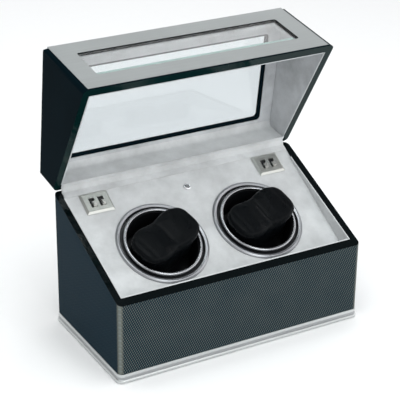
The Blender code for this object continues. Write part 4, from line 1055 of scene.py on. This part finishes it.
# ---- carried-over CAD nodes ----
def dress_nodes():
    looks = {
        "base_felt": FELT,
        "bottom_panel": FIBREBOARD,
        "winder_chassis": GREY_PLASTIC,
        "control_board": CIRCUIT,
    }
    for side in SIDES:
        looks |= {
            f"bearing_bush_{side}": BRASS,
            f"gearmotor_{side}": STEEL,
            f"drive_belt_{side}": RUBBER,
            f"switch_module_{side}": BLACK_PLASTIC,
            f"hinge_leaf_base_{side}": BRASS,
            f"hinge_leaf_lid_{side}": BRASS,
            f"hinge_pin_{side}": STEEL,
            f"spindle_{side}": STEEL,
            f"driven_pulley_{side}": GREY_PLASTIC,
            f"motor_pulley_{side}": BRASS,
        }
    for node, look in looks.items():
        materials = frame["nodes"][node].data.materials
        materials.clear()
        materials.append(look)


# ---- studio ----
def add_area(name, size, watts, location, aim, colour=(1, 1, 1)):
    light = bpy.data.lights.new(name, "AREA")
    light.shape = "RECTANGLE"
    light.size, light.size_y = size
    light.energy = watts
    light.color = colour
    lamp = bpy.data.objects.new(name, light)
    lamp.location = location
    lamp.rotation_euler = (Vector(aim) - Vector(location)).to_track_quat("-Z", "Y").to_euler()
    bpy.context.scene.collection.objects.link(lamp)


def make_studio():
    bm = bmesh.new()
    reach, divisions = 3.0, 24
    bmesh.ops.create_grid(bm, x_segments=divisions, y_segments=divisions, size=reach)
    floor = as_object("floor", bm, ROW)
    n = Nodes("studio_floor", (0.97, 0.97, 0.97), 0.9, 0.0, Specular_IOR_Level=0.1)
    paper = n.noise(n.place(), 60, 3)
    n.colours(paper, (0.96, 0.96, 0.96), (0.98, 0.98, 0.98))
    floor.data.materials.append(n.material)

    world = bpy.data.worlds.new("studio")
    bpy.context.scene.world = world
    world.use_nodes = True
    tree = world.node_tree
    direction = tree.nodes.new("ShaderNodeTexCoord")
    split = tree.nodes.new("ShaderNodeSeparateXYZ")
    ramp = tree.nodes.new("ShaderNodeValToRGB")
    ramp.color_ramp.interpolation = "EASE"
    ramp.color_ramp.elements[0].position, ramp.color_ramp.elements[0].color = 0.50, (1.27, 1.26, 1.27, 1)
    ramp.color_ramp.elements[1].position, ramp.color_ramp.elements[1].color = 0.80, (0.16, 0.16, 0.17, 1)
    tree.links.new(direction.outputs["Generated"], split.inputs[0])
    tree.links.new(split.outputs[2], ramp.inputs["Fac"])
    side = tree.nodes.new("ShaderNodeMapRange")
    for key, number in (("From Min", -0.6), ("From Max", 0.6), ("To Min", 0.55), ("To Max", 1.22)):
        side.inputs[key].default_value = number
    tree.links.new(split.outputs[0], side.inputs["Value"])
    tree.links.new(side.outputs[0], tree.nodes["Background"].inputs["Strength"])
    tree.links.new(ramp.outputs["Color"], tree.nodes["Background"].inputs["Color"])
    bpy.context.scene.view_settings.view_transform = "Standard"
    add_area("overhead", (2.3, 2.4), 52, (-0.30, -0.10, 2.60), (-0.30, -0.10, 0), (0.96, 1.0, 1.0))
    add_area("front_key", (0.9, 0.6), 6, (0.10, -1.50, 1.05), (0.0, 0.0, 0.15), (0.96, 1.0, 1.0))

    camera = bpy.data.cameras.new("photo_view")
    camera.sensor_width = 36
    camera.lens = 129.06
    view = bpy.data.objects.new("photo_view", camera)
    azimuth, elevation, roll = (math.radians(a) for a in (-29.78, 25.31, 0.67))
    back = Vector(
        (
            math.sin(azimuth) * math.cos(elevation),
            -math.cos(azimuth) * math.cos(elevation),
            math.sin(elevation),
        )
    )
    right = Vector((math.cos(azimuth), math.sin(azimuth), 0))
    turn = Matrix((right, back.cross(right), back)).transposed().to_4x4()
    stand = Vector((-0.7574, -1.3021, 0.8694))
    view.matrix_world = Matrix.Translation(stand) @ turn @ Matrix.Rotation(roll, 4, "Z")
    bpy.context.scene.collection.objects.link(view)
    bpy.context.scene.camera = view


# ---- sizes shared by several pieces ----
def deck_place(node):
    low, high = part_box(node)
    return DECK.inverted() @ ((low + high) / 2)


SWITCH_X = deck_place("switch_plate_right").x
SWITCH_V = deck_place("switch_plate_right").y
LAMP_V = 0.0615
SLOT = (0.0072, 0.0130)
SLOT_SPACING = 0.0114
CUSHION_TURN = {"left": math.radians(22), "right": math.radians(17)}
CUSHION_TOP = 0.0220
CUSHION_BOTTOM = -0.0245
CUSHION_SWELL = 0.0012
FASCIA_HALF = 0.154
FASCIA_RECESS = 0.0020
FASCIA_LIP = 0.0030
SATIN_KNOB = make_brushed("knob_metal", (0.60, 0.60, 0.58), 0.34, (30, 1500, 1500), 0.2)

make_case()
make_plinth()
make_underside()
make_deck()
make_deck_linings()
for side, sign in SIDES.items():
    make_turntable(side, sign)
    make_switches(side, sign)
    for name in ("direction", "program"):
        make_slider(side, name)
make_cushions()
make_lamp()
make_socket()
make_lid_shell()
make_glazing()
make_lid_linings()
make_gusset()
dress_nodes()
make_studio()
